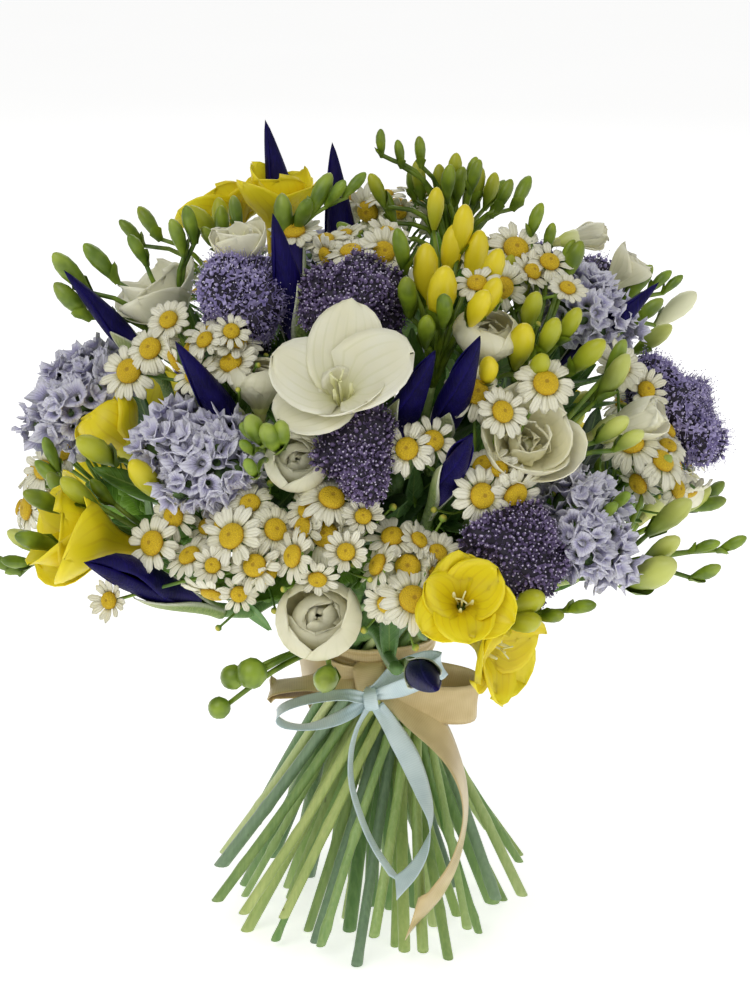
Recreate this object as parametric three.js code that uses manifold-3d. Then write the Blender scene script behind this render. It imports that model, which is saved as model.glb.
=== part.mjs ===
// A hand-tied round bouquet: irises, freesias, feverfew, throatwort and statice laid
// in a spiral, bound with twine and tied with two satin ribbons. It stands on its own
// splayed stems. Millimetres, +Z up, the origin on the ground under the middle.

import * as THREE from 'three';
import { mergeVertices } from 'three/addons/utils/BufferGeometryUtils.js';
import Module from 'manifold-3d';

const wasm = await Module();
wasm.setup();

// ---------------------------------------------------------------- driving dimensions

const TIE_HEIGHT = 119; // the binding point above the ground
const DOME_RISE = 64; // from the binding point up to the middle of the flower dome
const DOME_RADIUS = 152; // the flower dome, a ball cut off below
const STEM_DIAMETER = 4.6;
const RING_SPACING = 5.2; // between rings of stems at the binding point
const RING_SLOTS = [1, 6, 12, 18, 20]; // stems in each ring, from the middle out
const SPIRAL_RISE = 31; // height in which a stem turns an eighth round the bundle
const STRAIGHT_ABOVE_TIE = 27; // the spiral stays straight this far above the twine
const CLEARANCE = 0.4; // between pieces that press on each other
const CUT_HEIGHTS = [0, 4, 9, 2, 7]; // how far stems end above the ground, in turn
const OUTER_RING_CUT = 14; // the stems that splay most end this much higher

const STEM_SIDES = 5;
const STEM_STEPS = 9;

const TWINE_BAND = [9.5, 18.5]; // its lowest and highest turn, from the binding point
const TWINE_THICKNESS = 1.6;
const BEIGE_BAND = [9, 20]; // over the twine, gathered
const BEIGE_WIDTH = 19;
const BLUE_BAND = [-1, 5];
const BLUE_WIDTH = 10;
const RIBBON_THICKNESS = 1.2;

// ---------------------------------------------------------------- the arrangement
// Each stem: its kind, the compass direction that its head faces and how far the head
// leans from upright, both seen from the binding point, in degrees; the radius of the
// head in mm; for a freesia the way that its comb of buds bends, clockwise from up; and
// how much deeper than the rest the head sits.

const arrangement = [
  ['iris', 150, 12, 9],
  ['iris', 112, 9, 9, 0, 16],
  ['iris', -117, 21, 9],
  ['iris', 179, 38, 9, 0, 5],
  ['iris', -121, 37, 9],
  ['iris', -83, 38, 9],
  ['iris', -73, 37, 9],
  ['iris', -77, 45, 9],
  ['iris', -14, 33, 9, 0, 6],
  ['iris', -127, 61, 10],
  ['iris', -84, 69, 10, 0, 4],
  ['white_freesia', -97, 33, 32, 0],
  ['white_freesia', -109, 40, 24, 180],
  ['white_freesia', -58, 43, 28, 20],
  ['white_freesia', -98, 64, 22, 215],
  ['white_freesia', -142, 18, 24, 310],
  ['white_freesia', -163, 28, 24, 290],
  ['white_freesia', 8, 31, 24, 70],
  ['white_freesia', -40, 59, 26, 90],
  ['yellow_freesia', -144, 45, 21, 250],
  ['yellow_freesia', -131, 54, 28, 270],
  ['yellow_freesia', -74, 62, 30, 100],
  ['yellow_freesia', 160, 21, 24, 300],
  ['yellow_freesia', -70, 26, 24, 0],
  ['yellow_freesia', -45, 31, 22, 30],
  ['yellow_freesia', 30, 13, 26, 90, -8],
  ['feverfew', -111, 54, 28],
  ['feverfew', -97, 52, 26],
  ['feverfew', -84, 56, 26],
  ['feverfew', -98, 13, 22],
  ['feverfew', -128, 32, 24],
  ['feverfew', -38, 20, 24],
  ['feverfew', -68, 46, 18],
  ['feverfew', -28, 49, 26],
  ['throatwort', -131, 23, 24],
  ['throatwort', -95, 23, 24],
  ['throatwort', -92, 42, 18],
  ['throatwort', -66, 55, 28],
  ['throatwort', -10, 46, 30],
  ['statice', -169, 43, 30],
  ['statice', -122, 44, 28],
  ['statice', -20, 28, 26],
  ['statice', -52, 53, 26],
  ['feverfew', 75, 14, 36],
  ['throatwort', 34, 34, 38],
  ['white_freesia', 67, 34, 36, 0],
  ['statice', 101, 34, 38],
  ['feverfew', 134, 34, 38],
  ['white_freesia', -4, 61, 28, 90],
  ['feverfew', 22, 56, 38],
  ['yellow_freesia', 48, 58, 34, 60],
  ['statice', 73, 56, 38],
  ['feverfew', 98, 57, 38],
  ['throatwort', 122, 56, 38],
  ['yellow_freesia', 147, 57, 34, 300],
  ['feverfew', 172, 58, 36],
  ['white_freesia', -157, 59, 28, 270],
];

// ---------------------------------------------------------------- materials

const petalColours = {
  iris: [0x1b1560, 0.5],
  white_freesia: [0xf3f2e6, 0.5],
  yellow_freesia: [0xf3cf1f, 0.5],
  feverfew: [0xf2efd8, 0.65],
  throatwort: [0x54456f, 0.8],
  statice: [0xaaa2d4, 0.75],
};
const headMaterials = {};
for (const [kind, [color, roughness]] of Object.entries(petalColours)) {
  headMaterials[kind] = new THREE.MeshStandardMaterial({ color, roughness });
}
const beigeSatin = new THREE.MeshStandardMaterial({ color: 0xc6a67c, roughness: 0.35 });
const blueSatin = new THREE.MeshStandardMaterial({ color: 0xbfd3dc, roughness: 0.35 });
const juteTwine = new THREE.MeshStandardMaterial({ color: 0xa98c5c, roughness: 0.9 });

// ---------------------------------------------------------------- solids

const radians = THREE.MathUtils.degToRad;
const tie = new THREE.Vector3(0, 0, TIE_HEIGHT);

function solidOf(geometry) {
  const bare = geometry.clone();
  bare.deleteAttribute('normal');
  bare.deleteAttribute('uv');
  const merged = mergeVertices(bare, 1e-3);
  return new wasm.Manifold(new wasm.Mesh({
    numProp: 3,
    vertProperties: new Float32Array(merged.attributes.position.array),
    triVerts: new Uint32Array(merged.index.array),
  }));
}

function geometryOf(solid) {
  const mesh = solid.getMesh();
  const geometry = new THREE.BufferGeometry();
  geometry.setAttribute('position', new THREE.BufferAttribute(mesh.vertProperties, 3));
  geometry.setIndex(new THREE.BufferAttribute(mesh.triVerts, 1));
  geometry.computeVertexNormals();
  return geometry;
}

// A cut can leave crumbs: only the biggest part belongs to the plant.
function biggestPart(solid) {
  const parts = solid.decompose();
  return parts.reduce((a, b) => (a.volume() > b.volume() ? a : b));
}

// A round body on the +Z axis, from [radius, height] pairs that start and end at radius 0.
function turned(profile, sides) {
  const points = profile.map(([r, z]) => new THREE.Vector2(r, z));
  return new THREE.LatheGeometry(points, sides).rotateX(Math.PI / 2);
}

function polygon(radius, sides) {
  const corners = [];
  for (let i = 0; i < sides; i++) {
    const a = (2 * Math.PI * i) / sides;
    corners.push(new THREE.Vector2(radius * Math.cos(a), radius * Math.sin(a)));
  }
  return new THREE.Shape(corners);
}

function tube(path, radius, sides, steps) {
  return new THREE.ExtrudeGeometry(polygon(radius, sides), {
    extrudePath: path,
    steps,
    bevelEnabled: false,
  });
}

// ---------------------------------------------------------------- directions

function directionOf(azimuth, lean) {
  const a = radians(azimuth);
  const t = radians(lean);
  return new THREE.Vector3(
    Math.sin(t) * Math.cos(a),
    Math.sin(t) * Math.sin(a),
    Math.cos(t),
  );
}

// How far the dome's surface is from the binding point, in a direction that leans so.
function reachAt(lean) {
  const t = radians(lean);
  const across = DOME_RISE * Math.sin(t);
  return DOME_RISE * Math.cos(t) + Math.sqrt(DOME_RADIUS ** 2 - across ** 2);
}

// ---------------------------------------------------------------- flower heads
// A head is built on +Z with its foot at the origin, then set on the end of its stem.

const IRIS_LENGTH = 85;
const HEAD_DEPTH = { iris: 50, white_freesia: 40, yellow_freesia: 40 };
const SOFT_HEAD_DEPTH = 38;

function headDepth(kind) {
  return HEAD_DEPTH[kind] ?? SOFT_HEAD_DEPTH;
}

// A closed iris: its green sheath below, the rolled petals above, drawn to a point.
function irisHead(r) {
  const profile = [[0, -2], [3, 0], [0.8 * r, 20], [r, 44], [0.6 * r, 66], [0, IRIS_LENGTH]];
  return solidOf(turned(profile, 7));
}

function softHead(kind, r) {
  const crown = { feverfew: 4, throatwort: 9, statice: 5 }[kind];
  const edge = SOFT_HEAD_DEPTH - 4;
  const profile = [[0, -2], [2.6, 0], [0.55 * r, 0.55 * edge], [r, edge - 4]];
  profile.push([0.92 * r, edge + 0.3 * crown], [0.5 * r, edge + crown], [0, edge + 1.2 * crown]);
  return solidOf(turned(profile, 9));
}

// A freesia: one open flower on the bend of the stem and a comb of buds past it.
const COMB_BEND = 44;
const COMB_LENGTH = 62;
const BUD_COUNT = 4;

function combFrame(distance) {
  const a = distance / COMB_BEND;
  return {
    at: new THREE.Vector3(0, COMB_BEND * (1 - Math.cos(a)), COMB_BEND * Math.sin(a)),
    along: new THREE.Vector3(0, Math.sin(a), Math.cos(a)),
    outward: new THREE.Vector3(0, -Math.cos(a), Math.sin(a)),
  };
}

function placedOn(solid, at, direction) {
  const turn = new THREE.Quaternion();
  turn.setFromUnitVectors(new THREE.Vector3(0, 0, 1), direction);
  const matrix = new THREE.Matrix4().compose(at, turn, new THREE.Vector3(1, 1, 1));
  return solid.transform(matrix.toArray());
}

function freesiaHead(r) {
  const arc = [0, 0.33, 0.67, 1].map((f) => combFrame(f * COMB_LENGTH).at);
  let head = solidOf(tube(new THREE.CatmullRomCurve3(arc), 1.5, 4, 4));
  const flower = solidOf(turned([[0, -2], [2.4, 0], [0.3 * r, 18], [r, 40], [0, 28]], 7));
  head = head.add(placedOn(flower, new THREE.Vector3(0, 0, 0), combFrame(3).along));
  for (let i = 0; i < BUD_COUNT; i++) {
    const share = i / (BUD_COUNT - 1);
    const frame = combFrame(18 + share * (COMB_LENGTH - 20));
    const length = 26 - 10 * share;
    const width = 5 - 2 * share;
    const bud = turned([[0, -2], [width, 0.6 * length], [0, length]], 4);
    const aim = frame.outward.multiplyScalar(1 - 0.7 * share).add(frame.along).normalize();
    head = head.add(placedOn(solidOf(bud), frame.at, aim));
  }
  return head;
}

function headOf(kind, radius) {
  if (kind === 'iris') return irisHead(radius);
  if (kind.endsWith('freesia')) return freesiaHead(radius);
  return softHead(kind, radius);
}

// Turns a head to face out of the dome, with its comb bent the stated way.
function headPlacement(flower) {
  const out = flower.direction;
  const up = new THREE.Vector3(0, 0, 1);
  up.addScaledVector(out, -out.z).normalize();
  const right = new THREE.Vector3().crossVectors(up, out);
  const bend = radians(flower.bend);
  const side = up.multiplyScalar(Math.cos(bend)).addScaledVector(right, Math.sin(bend));
  const third = new THREE.Vector3().crossVectors(side, out);
  const matrix = new THREE.Matrix4().makeBasis(third, side, out);
  return matrix.setPosition(flower.foot);
}

// Neighbours press on each other, so each head is flattened along the line between them.
function pressedHead(flower, flowers) {
  let head = headOf(flower.kind, flower.radius).transform(headPlacement(flower).toArray());
  for (const other of flowers) {
    const apart = flower.direction.angleTo(other.direction);
    if (other === flower || apart > 0.75) continue;
    const share = 0.5 * (apart + flower.spread - other.spread);
    const towards = other.direction.clone();
    towards.addScaledVector(flower.direction, -Math.cos(apart)).normalize();
    const inward = flower.direction.clone().multiplyScalar(Math.sin(share));
    inward.addScaledVector(towards, -Math.cos(share));
    const offset = inward.dot(tie) + 0.5 * CLEARANCE;
    head = head.trimByPlane(inward.toArray(), offset);
  }
  return biggestPart(head);
}

// ---------------------------------------------------------------- stems in a spiral
// Every stem is a straight line through the binding, so the stems of a ring lie on a
// waisted surface and no two of them meet. Above the binding each bends to its head.

function ringRadius(ring, height) {
  return RING_SPACING * ring * Math.hypot(1, height / SPIRAL_RISE);
}

function spiralPoint(slot, height) {
  const turn = slot.angle + Math.atan2(height, SPIRAL_RISE);
  const r = ringRadius(slot.ring, height);
  return new THREE.Vector3(r * Math.cos(turn), r * Math.sin(turn), TIE_HEIGHT + height);
}

function stemPath(flower) {
  const foot = spiralPoint(flower.slot, -TIE_HEIGHT - 6);
  const bendStart = spiralPoint(flower.slot, STRAIGHT_ABOVE_TIE);
  const rise = bendStart.clone().sub(foot).normalize();
  const span = bendStart.distanceTo(flower.foot);
  const first = bendStart.clone().addScaledVector(rise, 0.3 * span);
  const last = flower.foot.clone().addScaledVector(flower.direction, -0.42 * span);
  const end = flower.foot.clone().addScaledVector(flower.direction, 4);
  const path = new THREE.CurvePath();
  path.add(new THREE.LineCurve3(foot, bendStart));
  path.add(new THREE.CubicBezierCurve3(bendStart, first, last, flower.foot));
  path.add(new THREE.LineCurve3(flower.foot, end));
  return path;
}

function stemSolid(flower) {
  const stem = solidOf(tube(stemPath(flower), STEM_DIAMETER / 2, STEM_SIDES, STEM_STEPS));
  return stem.trimByPlane([0, 0, 1], flower.cut);
}

// The steepest heads stand in the middle of the bundle and the lowest in its outer ring;
// round each ring they keep the order of their directions.
function shareOutSlots(flowers) {
  const byLean = [...flowers].sort((a, b) => a.lean - b.lean);
  let first = 0;
  RING_SLOTS.forEach((count, ring) => {
    const members = byLean.slice(first, first + count);
    members.sort((a, b) => a.azimuth - b.azimuth);
    const step = (2 * Math.PI) / count;
    let offset = 0;
    members.forEach((flower, i) => {
      offset += (radians(flower.azimuth) - i * step) / members.length;
    });
    members.forEach((flower, i) => {
      flower.slot = { ring, angle: offset + i * step - radians(75) };
      const outermost = ring === RING_SLOTS.length - 1;
      flower.cut = CUT_HEIGHTS[i % CUT_HEIGHTS.length] + (outermost ? OUTER_RING_CUT : 0);
    });
    first += count;
  });
}

const flowers = arrangement.map(([kind, azimuth, lean, radius, bend = 0, sink = 0]) => {
  const direction = directionOf(azimuth, lean);
  const reach = reachAt(lean) - sink;
  const foot = tie.clone().addScaledVector(direction, reach - headDepth(kind));
  const spread = Math.atan(radius / reach);
  return { kind, azimuth, lean, radius, bend, direction, reach, foot, spread };
});
shareOutSlots(flowers);

// ---------------------------------------------------------------- twine and ribbons

// The bundle's outside at a height above the binding point, with room for what binds it.
function bundleRadius(height) {
  return ringRadius(RING_SLOTS.length - 1, height) + 0.6 * STEM_DIAMETER + CLEARANCE;
}

// A flat band wound round the bundle, from its lower to its upper edge, lying on what is
// wound there already.
function wrap([low, high], thickness, under = 0) {
  const inside = [];
  const outside = [];
  for (let i = 0; i <= 3; i++) {
    const h = low + ((high - low) * i) / 3;
    const r = bundleRadius(h) + under;
    inside.push(new THREE.Vector2(r, TIE_HEIGHT + h));
    outside.push(new THREE.Vector2(r + thickness, TIE_HEIGHT + h));
  }
  const ring = [...outside, ...inside.reverse(), outside[0]];
  return solidOf(new THREE.LatheGeometry(ring, 32).rotateX(Math.PI / 2));
}

// A strip of ribbon along a curve, lying flat on the splayed stems.
function ribbonTail(points, width) {
  const curve = new THREE.CatmullRomCurve3(points.map((p) => new THREE.Vector3(...p)));
  const steps = 4 * (points.length - 1);
  const strip = new THREE.BoxGeometry(width, 1, RIBBON_THICKNESS, 1, steps, 1);
  const vertex = new THREE.Vector3();
  const places = strip.attributes.position;
  for (let i = 0; i < places.count; i++) {
    vertex.fromBufferAttribute(places, i);
    const t = vertex.y + 0.5;
    const along = curve.getTangent(t);
    const middle = curve.getPoint(t);
    const outward = new THREE.Vector3(middle.x, middle.y, 0).normalize();
    const across = new THREE.Vector3().crossVectors(along, outward).normalize();
    const face = new THREE.Vector3().crossVectors(across, along);
    middle.addScaledVector(across, vertex.x).addScaledVector(face, vertex.z);
    places.setXYZ(i, middle.x, middle.y, middle.z);
  }
  return solidOf(strip);
}

// A bow's loop: a teardrop band, its ribbon standing on edge, then tilted and placed.
function ribbonLoop(length, breadth, width, tilt, at) {
  const outline = (inset) => new THREE.SplineCurve([
    new THREE.Vector2(inset, 0),
    new THREE.Vector2(0.45 * length, -0.5 * breadth + inset),
    new THREE.Vector2(0.85 * length, -0.35 * breadth + inset),
    new THREE.Vector2(length - inset, 0),
    new THREE.Vector2(0.85 * length, 0.35 * breadth - inset),
    new THREE.Vector2(0.45 * length, 0.5 * breadth - inset),
    new THREE.Vector2(inset, 0),
  ]).getPoints(12);
  const band = new THREE.Shape(outline(0).slice(0, -1));
  band.holes.push(new THREE.Path(outline(RIBBON_THICKNESS).slice(0, -1)));
  const loop = new THREE.ExtrudeGeometry(band, { depth: width, bevelEnabled: false });
  loop.translate(0, 0, -width / 2);
  loop.rotateY(-radians(tilt));
  if (at[3]) loop.rotateZ(radians(at[3]));
  loop.translate(at[0], at[1], at[2]);
  return solidOf(loop);
}

function knot(size, at) {
  const ball = new THREE.SphereGeometry(0.5, 8, 6);
  ball.scale(...size).translate(...at);
  return solidOf(ball);
}

function beigeRibbon() {
  const rightTail = [[8, -31, 127], [18, -36, 118], [32, -40, 101], [41, -44, 80]];
  rightTail.push([40, -52, 60], [31, -63, 44], [19, -70, 33]);
  const leftTail = [[-7, -31, 128], [-22, -25, 127], [-31, -6, 122], [-29, 15, 112]];
  leftTail.push([-22, 34, 92], [-16, 48, 66], [-13, 62, 38]);
  return wrap(BEIGE_BAND, RIBBON_THICKNESS, TWINE_THICKNESS + 0.75 * CLEARANCE)
    .add(knot([14, 7, 14], [0, -31, 128]))
    .add(ribbonLoop(44, 12, BEIGE_WIDTH, -9, [4, -31, 123, -6]))
    .add(ribbonLoop(46, 10, BEIGE_WIDTH, -3, [-4, -31, 127, 184]))
    .add(ribbonTail(rightTail, BEIGE_WIDTH))
    .add(ribbonTail(leftTail, BEIGE_WIDTH));
}

function blueRibbon() {
  const leftTail = [[-2, -41, 121], [-7, -46, 104], [-8, -52, 88], [-2, -62, 70]];
  leftTail.push([12, -75, 49]);
  const rightTail = [[3, -41, 121], [13, -48, 106], [23, -57, 84], [26, -66, 70]];
  rightTail.push([21, -75, 58], [13, -81, 49]);
  return wrap(BLUE_BAND, RIBBON_THICKNESS)
    .add(knot([6, 15.4, 5], [0, -32, 118]))
    .add(knot([11, 8, 16], [0, -40, 119]))
    .add(ribbonLoop(42, 10, BLUE_WIDTH, -8, [-3, -42, 120, 186]))
    .add(ribbonLoop(32, 9, BLUE_WIDTH, 18, [3, -42, 123, -6]))
    .add(ribbonTail(leftTail, BLUE_WIDTH))
    .add(ribbonTail(rightTail, BLUE_WIDTH));
}

// ---------------------------------------------------------------- the object

const bouquet = new THREE.Group();
const counts = {};

function addPiece(name, solid, material) {
  const mesh = new THREE.Mesh(geometryOf(solid), material);
  mesh.name = name;
  bouquet.add(mesh);
}

for (const flower of flowers) {
  counts[flower.kind] = (counts[flower.kind] ?? 0) + 1;
  const number = String(counts[flower.kind]).padStart(2, '0');
  const solid = biggestPart(stemSolid(flower).add(pressedHead(flower, flowers)));
  addPiece(`${flower.kind}_stem_${number}`, solid, headMaterials[flower.kind]);
}

addPiece('binding_twine', wrap(TWINE_BAND, TWINE_THICKNESS), juteTwine);
addPiece('beige_ribbon', beigeRibbon(), beigeSatin);
addPiece('blue_ribbon', blueRibbon(), blueSatin);

// The origin goes on the ground, under the middle of the whole bouquet.
const extent = new THREE.Box3().setFromObject(bouquet);
const middle = extent.getCenter(new THREE.Vector3());
bouquet.position.set(-middle.x, -middle.y, -extent.min.z);

export default bouquet;
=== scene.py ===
import math
import random

import bmesh
import bpy
import numpy as np
from mathutils import Matrix, Vector, noise
from mathutils.bvhtree import BVHTree
from mathutils.geometry import interpolate_bezier


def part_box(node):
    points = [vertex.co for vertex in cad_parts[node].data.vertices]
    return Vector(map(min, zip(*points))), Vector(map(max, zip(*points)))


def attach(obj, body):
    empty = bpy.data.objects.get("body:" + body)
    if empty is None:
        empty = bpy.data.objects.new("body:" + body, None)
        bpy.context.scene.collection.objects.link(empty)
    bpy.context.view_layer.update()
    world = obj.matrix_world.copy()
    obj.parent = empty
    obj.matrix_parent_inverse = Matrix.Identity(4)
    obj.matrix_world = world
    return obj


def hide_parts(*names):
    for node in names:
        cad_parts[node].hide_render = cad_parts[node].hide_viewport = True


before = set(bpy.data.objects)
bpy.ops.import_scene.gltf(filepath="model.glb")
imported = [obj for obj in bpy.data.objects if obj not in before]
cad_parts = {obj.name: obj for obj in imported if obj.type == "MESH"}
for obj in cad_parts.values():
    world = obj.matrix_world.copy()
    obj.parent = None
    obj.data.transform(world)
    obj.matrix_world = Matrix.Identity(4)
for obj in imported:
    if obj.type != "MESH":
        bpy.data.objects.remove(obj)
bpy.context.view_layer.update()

# ---------------------------------------------------------------- camera, light and floor
# The bouquet stands alone on a plain white floor, seen from in front and a little above,
# under broad soft lamps as in a studio.

mm = 0.001
tie_height = 119
twine_low, twine_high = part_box("binding_twine")
tie = (twine_low + twine_high) / 2
tie.z = tie_height * mm

view_distance = 1.05
view_drop = math.radians(18)
aim = tie + Vector((2, 0, 79)) * mm
lens = bpy.data.cameras.new("camera")
lens.sensor_fit = "VERTICAL"
lens.angle = math.radians(23.7)
camera = bpy.data.objects.new("camera", lens)
camera.location = aim + view_distance * Vector((0, -math.cos(view_drop), math.sin(view_drop)))
camera.rotation_euler = (math.pi / 2 - view_drop, 0, 0)
bpy.context.scene.collection.objects.link(camera)
bpy.context.scene.camera = camera
bpy.context.scene.view_settings.view_transform = "Standard"


def soft_lamp(name, place, size, power):
    """A square soft box that faces the flowers."""
    light = bpy.data.lights.new(name, "AREA")
    light.size = size
    light.energy = power
    lamp = bpy.data.objects.new(name, light)
    lamp.location = place
    lamp.rotation_euler = (aim - lamp.location).to_track_quat("-Z", "Y").to_euler()
    bpy.context.scene.collection.objects.link(lamp)


soft_lamp("key_lamp", Vector((-0.7, -1.0, 1.4)), 1.2, 10)
soft_lamp("side_lamp", Vector((1.3, -0.9, 0.8)), 1.2, 4)
soft_lamp("back_lamp", Vector((0.3, 1.4, 1.3)), 1.2, 7)

world = bpy.data.worlds.new("studio")
world.use_nodes = True
backdrop = world.node_tree.nodes["Background"]
backdrop.inputs["Color"].default_value = (1, 1, 1, 1)
backdrop.inputs["Strength"].default_value = 0.36
bpy.context.scene.world = world


class Wire:
    """A socket in a material's node tree. Sums and products of wires add Math nodes."""

    def __init__(self, tree, socket=None):
        self.tree = tree
        self.socket = socket

    def node(self, kind, settings=(), inputs=(), out=0):
        """Adds any other node: its settings first, then its sockets' values or wires."""
        made = self.tree.nodes.new(kind)
        for name, value in dict(settings).items():
            setattr(made, name, value)
        for name, value in dict(inputs).items():
            if isinstance(value, Wire):
                self.tree.links.new(value.socket, made.inputs[name])
            else:
                made.inputs[name].default_value = value
        return Wire(self.tree, made.outputs[out])

    def math(self, operation, first, second=0.0):
        return self.node("ShaderNodeMath", {"operation": operation}, {0: first, 1: second})

    def __add__(self, other):
        return self.math("ADD", self, other)

    def __sub__(self, other):
        return self.math("SUBTRACT", self, other)

    def __mul__(self, other):
        return self.math("MULTIPLY", self, other)

    def __rsub__(self, other):
        return self.math("SUBTRACT", other, self)

    def __rmul__(self, other):
        return self.math("MULTIPLY", other, self)

    def __abs__(self):
        return self.math("ABSOLUTE", self)

    def blend(self, first, second):
        """A colour between two, by this wire. Each is a web code or another wire."""
        low, high = [end if isinstance(end, Wire) else paint(end) for end in (first, second)]
        return self.node("ShaderNodeMix", {"data_type": "RGBA"}, {0: self, 6: low, 7: high}, 2)

    def between(self, low, high):
        """0 below low, 1 above high, and smooth in between."""
        settings = {"interpolation_type": "SMOOTHSTEP"}
        return self.node("ShaderNodeMapRange", settings, {0: self, 1: low, 2: high})


def paint(code):
    """A colour from its web code, as a linear colour for a socket."""
    parts = [int(code[i : i + 2], 16) / 255 for i in (0, 2, 4)]
    linear = [p / 12.92 if p < 0.04045 else ((p + 0.055) / 1.055) ** 2.4 for p in parts]
    return (*linear, 1.0)


def finish(name, roughness, sockets=()):
    """A new material: its shader, with even values set on it, and a wire to build from."""
    material = bpy.data.materials.new(name)
    material.use_nodes = True
    shader = material.node_tree.nodes["Principled BSDF"]
    shader.inputs["Roughness"].default_value = roughness
    for socket, value in dict(sockets).items():
        shader.inputs[socket].default_value = value
    return material, shader, Wire(material.node_tree)


def mottle(start, scale, detail=2.0, stretch=(1, 1, 1)):
    """Cloudy variation over a piece, from 0 to 1, in patches of about 1 / scale metres."""
    place = start.node("ShaderNodeTexCoord", out="Object")
    grain = start.node("ShaderNodeMapping", (), {"Vector": place, "Scale": stretch})
    return start.node("ShaderNodeTexNoise", (), {"Vector": grain, "Scale": scale, "Detail": detail})


def wear(shader, colour, bump=None, depth=0.0):
    """Links what changes over the surface: its colour, and a bump so many metres deep."""
    tree = shader.id_data
    tree.links.new(colour.socket, shader.inputs["Base Color"])
    if bump:
        normal = bump.node("ShaderNodeBump", (), {"Height": bump, "Distance": depth})
        tree.links.new(normal.socket, shader.inputs["Normal"])


white = (1, 1, 1, 1)
paper, shader, start = finish("studio_floor", 0.9, {"Emission Strength": 0.62, "Emission Color": white})
wear(shader, mottle(start, 3.0).blend("f4f4f2", "f8f8f7"))
ground = bmesh.new()
bmesh.ops.create_grid(ground, x_segments=1, y_segments=1, size=14)
floor_mesh = bpy.data.meshes.new("floor")
ground.to_mesh(floor_mesh)
ground.free()
floor_mesh.materials.append(paper)
floor = bpy.data.objects.new("floor", floor_mesh)
bpy.context.scene.collection.objects.link(floor)

# ---------------------------------------------------------------- stalks
# Fifty-seven fresh stalks cross in a spiral at the binding and splay out again below it.
# Each kind has its own green and thickness; each stalk is cut straight across at its foot.


class Stem:
    """A cut stem, read from its solid: its middle line, and where its head starts and faces."""

    def __init__(self, name):
        self.name = name
        self.kind = name[:-8]
        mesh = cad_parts[name].data
        self.skin = BVHTree.FromPolygons(
            [v.co for v in mesh.vertices], [p.vertices[:] for p in mesh.polygons]
        )
        self.points = np.array([v.co for v in mesh.vertices])
        self.edges = np.array([e.vertices[:] for e in mesh.edges])
        self.foot = self.points[:, 2].min()
        heights = (self.foot + mm, tie.z - 10 * mm, tie.z + 22 * mm)
        self.line = [self.middle(self.points[:, 2], height)[0] for height in heights]
        reach = np.linalg.norm(self.points - np.array(tie), axis=1)
        reach *= np.sign(self.points[:, 2] - tie.z)
        distance = 46 * mm
        step = 3 * mm
        widest_stalk = 4.2 * mm
        place, spread = self.middle(reach, distance)
        while spread < widest_stalk:
            self.neck = place
            if round(distance / step) % 3 == 0:
                self.line.append(place)
            distance += step
            place, spread = self.middle(reach, distance)
        self.line.append(self.neck)
        self.out = (self.neck - tie).normalized()
        self.up = (Vector((0, 0, 1)) - self.out * self.out.z).normalized()
        self.right = self.up.cross(self.out)

    def middle(self, measure, level):
        """The middle and half width of where the solid passes a level of some measure."""
        first, second = measure[self.edges[:, 0]], measure[self.edges[:, 1]]
        cut = (first < level) != (second < level)
        share = ((level - first[cut]) / (second[cut] - first[cut]))[:, None]
        start, end = self.points[self.edges[cut, 0]], self.points[self.edges[cut, 1]]
        places = start + (end - start) * share
        centre = places.mean(0)
        return Vector(centre), np.linalg.norm(places - centre, axis=1).max()

    def toward(self, turn):
        """The direction across the head that is turned clockwise from up, in degrees."""
        angle = math.radians(turn)
        return self.up * math.cos(angle) + self.right * math.sin(angle)

    def spot(self, right, up, out):
        """A place on the head, in mm from its foot."""
        return self.neck + (self.right * right + self.up * up + self.out * out) * mm

    def facing(self, turn, tilt, place=(0, 0, 0)):
        """Stands +Z on the head at a place in mm, leaning to one side."""
        lean = math.radians(tilt)
        axis = self.out * math.cos(lean) + self.toward(turn) * math.sin(lean)
        top = (self.up - axis * self.up.dot(axis)).normalized()
        side = top.cross(axis)
        turned = Matrix((side, top, axis)).transposed()
        return Matrix.Translation(self.spot(*place)) @ turned.to_4x4()


stems = [Stem(name) for name in sorted(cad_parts) if "_stem_" in name]


def stems_of(kind):
    return [stem for stem in stems if stem.kind.endswith(kind)]


def smooth(value, low, high):
    """0 below low, 1 above high, and smooth in between."""
    share = min(1, max(0, (value - low) / (high - low)))
    return share * share * (3 - 2 * share)


def scatter(chance, most):
    """A random step, up to so much each way."""
    return Vector([chance.uniform(-most, most) for _ in range(3)])


def any_turn(chance):
    return chance.uniform(0, 6.28)


def polar(radius, angle, height=0):
    """A point round the Z axis."""
    return Vector((radius * math.cos(angle), radius * math.sin(angle), height))


def standing(place, axis, spin, size):
    """Stands +Z at a place along an axis."""
    turn = axis.to_track_quat("Z", "Y").to_matrix().to_4x4()
    spun = Matrix.Rotation(spin, 4, "Z") @ Matrix.Scale(size, 4)
    return Matrix.Translation(place) @ turn @ spun


def curve_through(points, counts):
    """A smooth curve through the given points, with so many new ones from each to the next."""
    ends = [2 * points[0] - points[1], *points, 2 * points[-1] - points[-2]]
    line = []
    for count, before, start, end, after in zip(counts, ends, ends[1:], ends[2:], ends[3:]):
        first, second = start + (end - before) / 6, end - (after - start) / 6
        line += interpolate_bezier(start, first, second, end, count)[:-1]
    return line + [points[-1]]


def smooth_line(points, gap):
    """Points about a gap apart on a smooth curve through the given ones."""
    counts = [max(2, round((b - a).length / gap) + 1) for a, b in zip(points, points[1:])]
    return curve_through(points, counts)


def even(line, radius):
    """A path for tubes that is equally thick all along."""
    return line, [radius * mm] * len(line)


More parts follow.
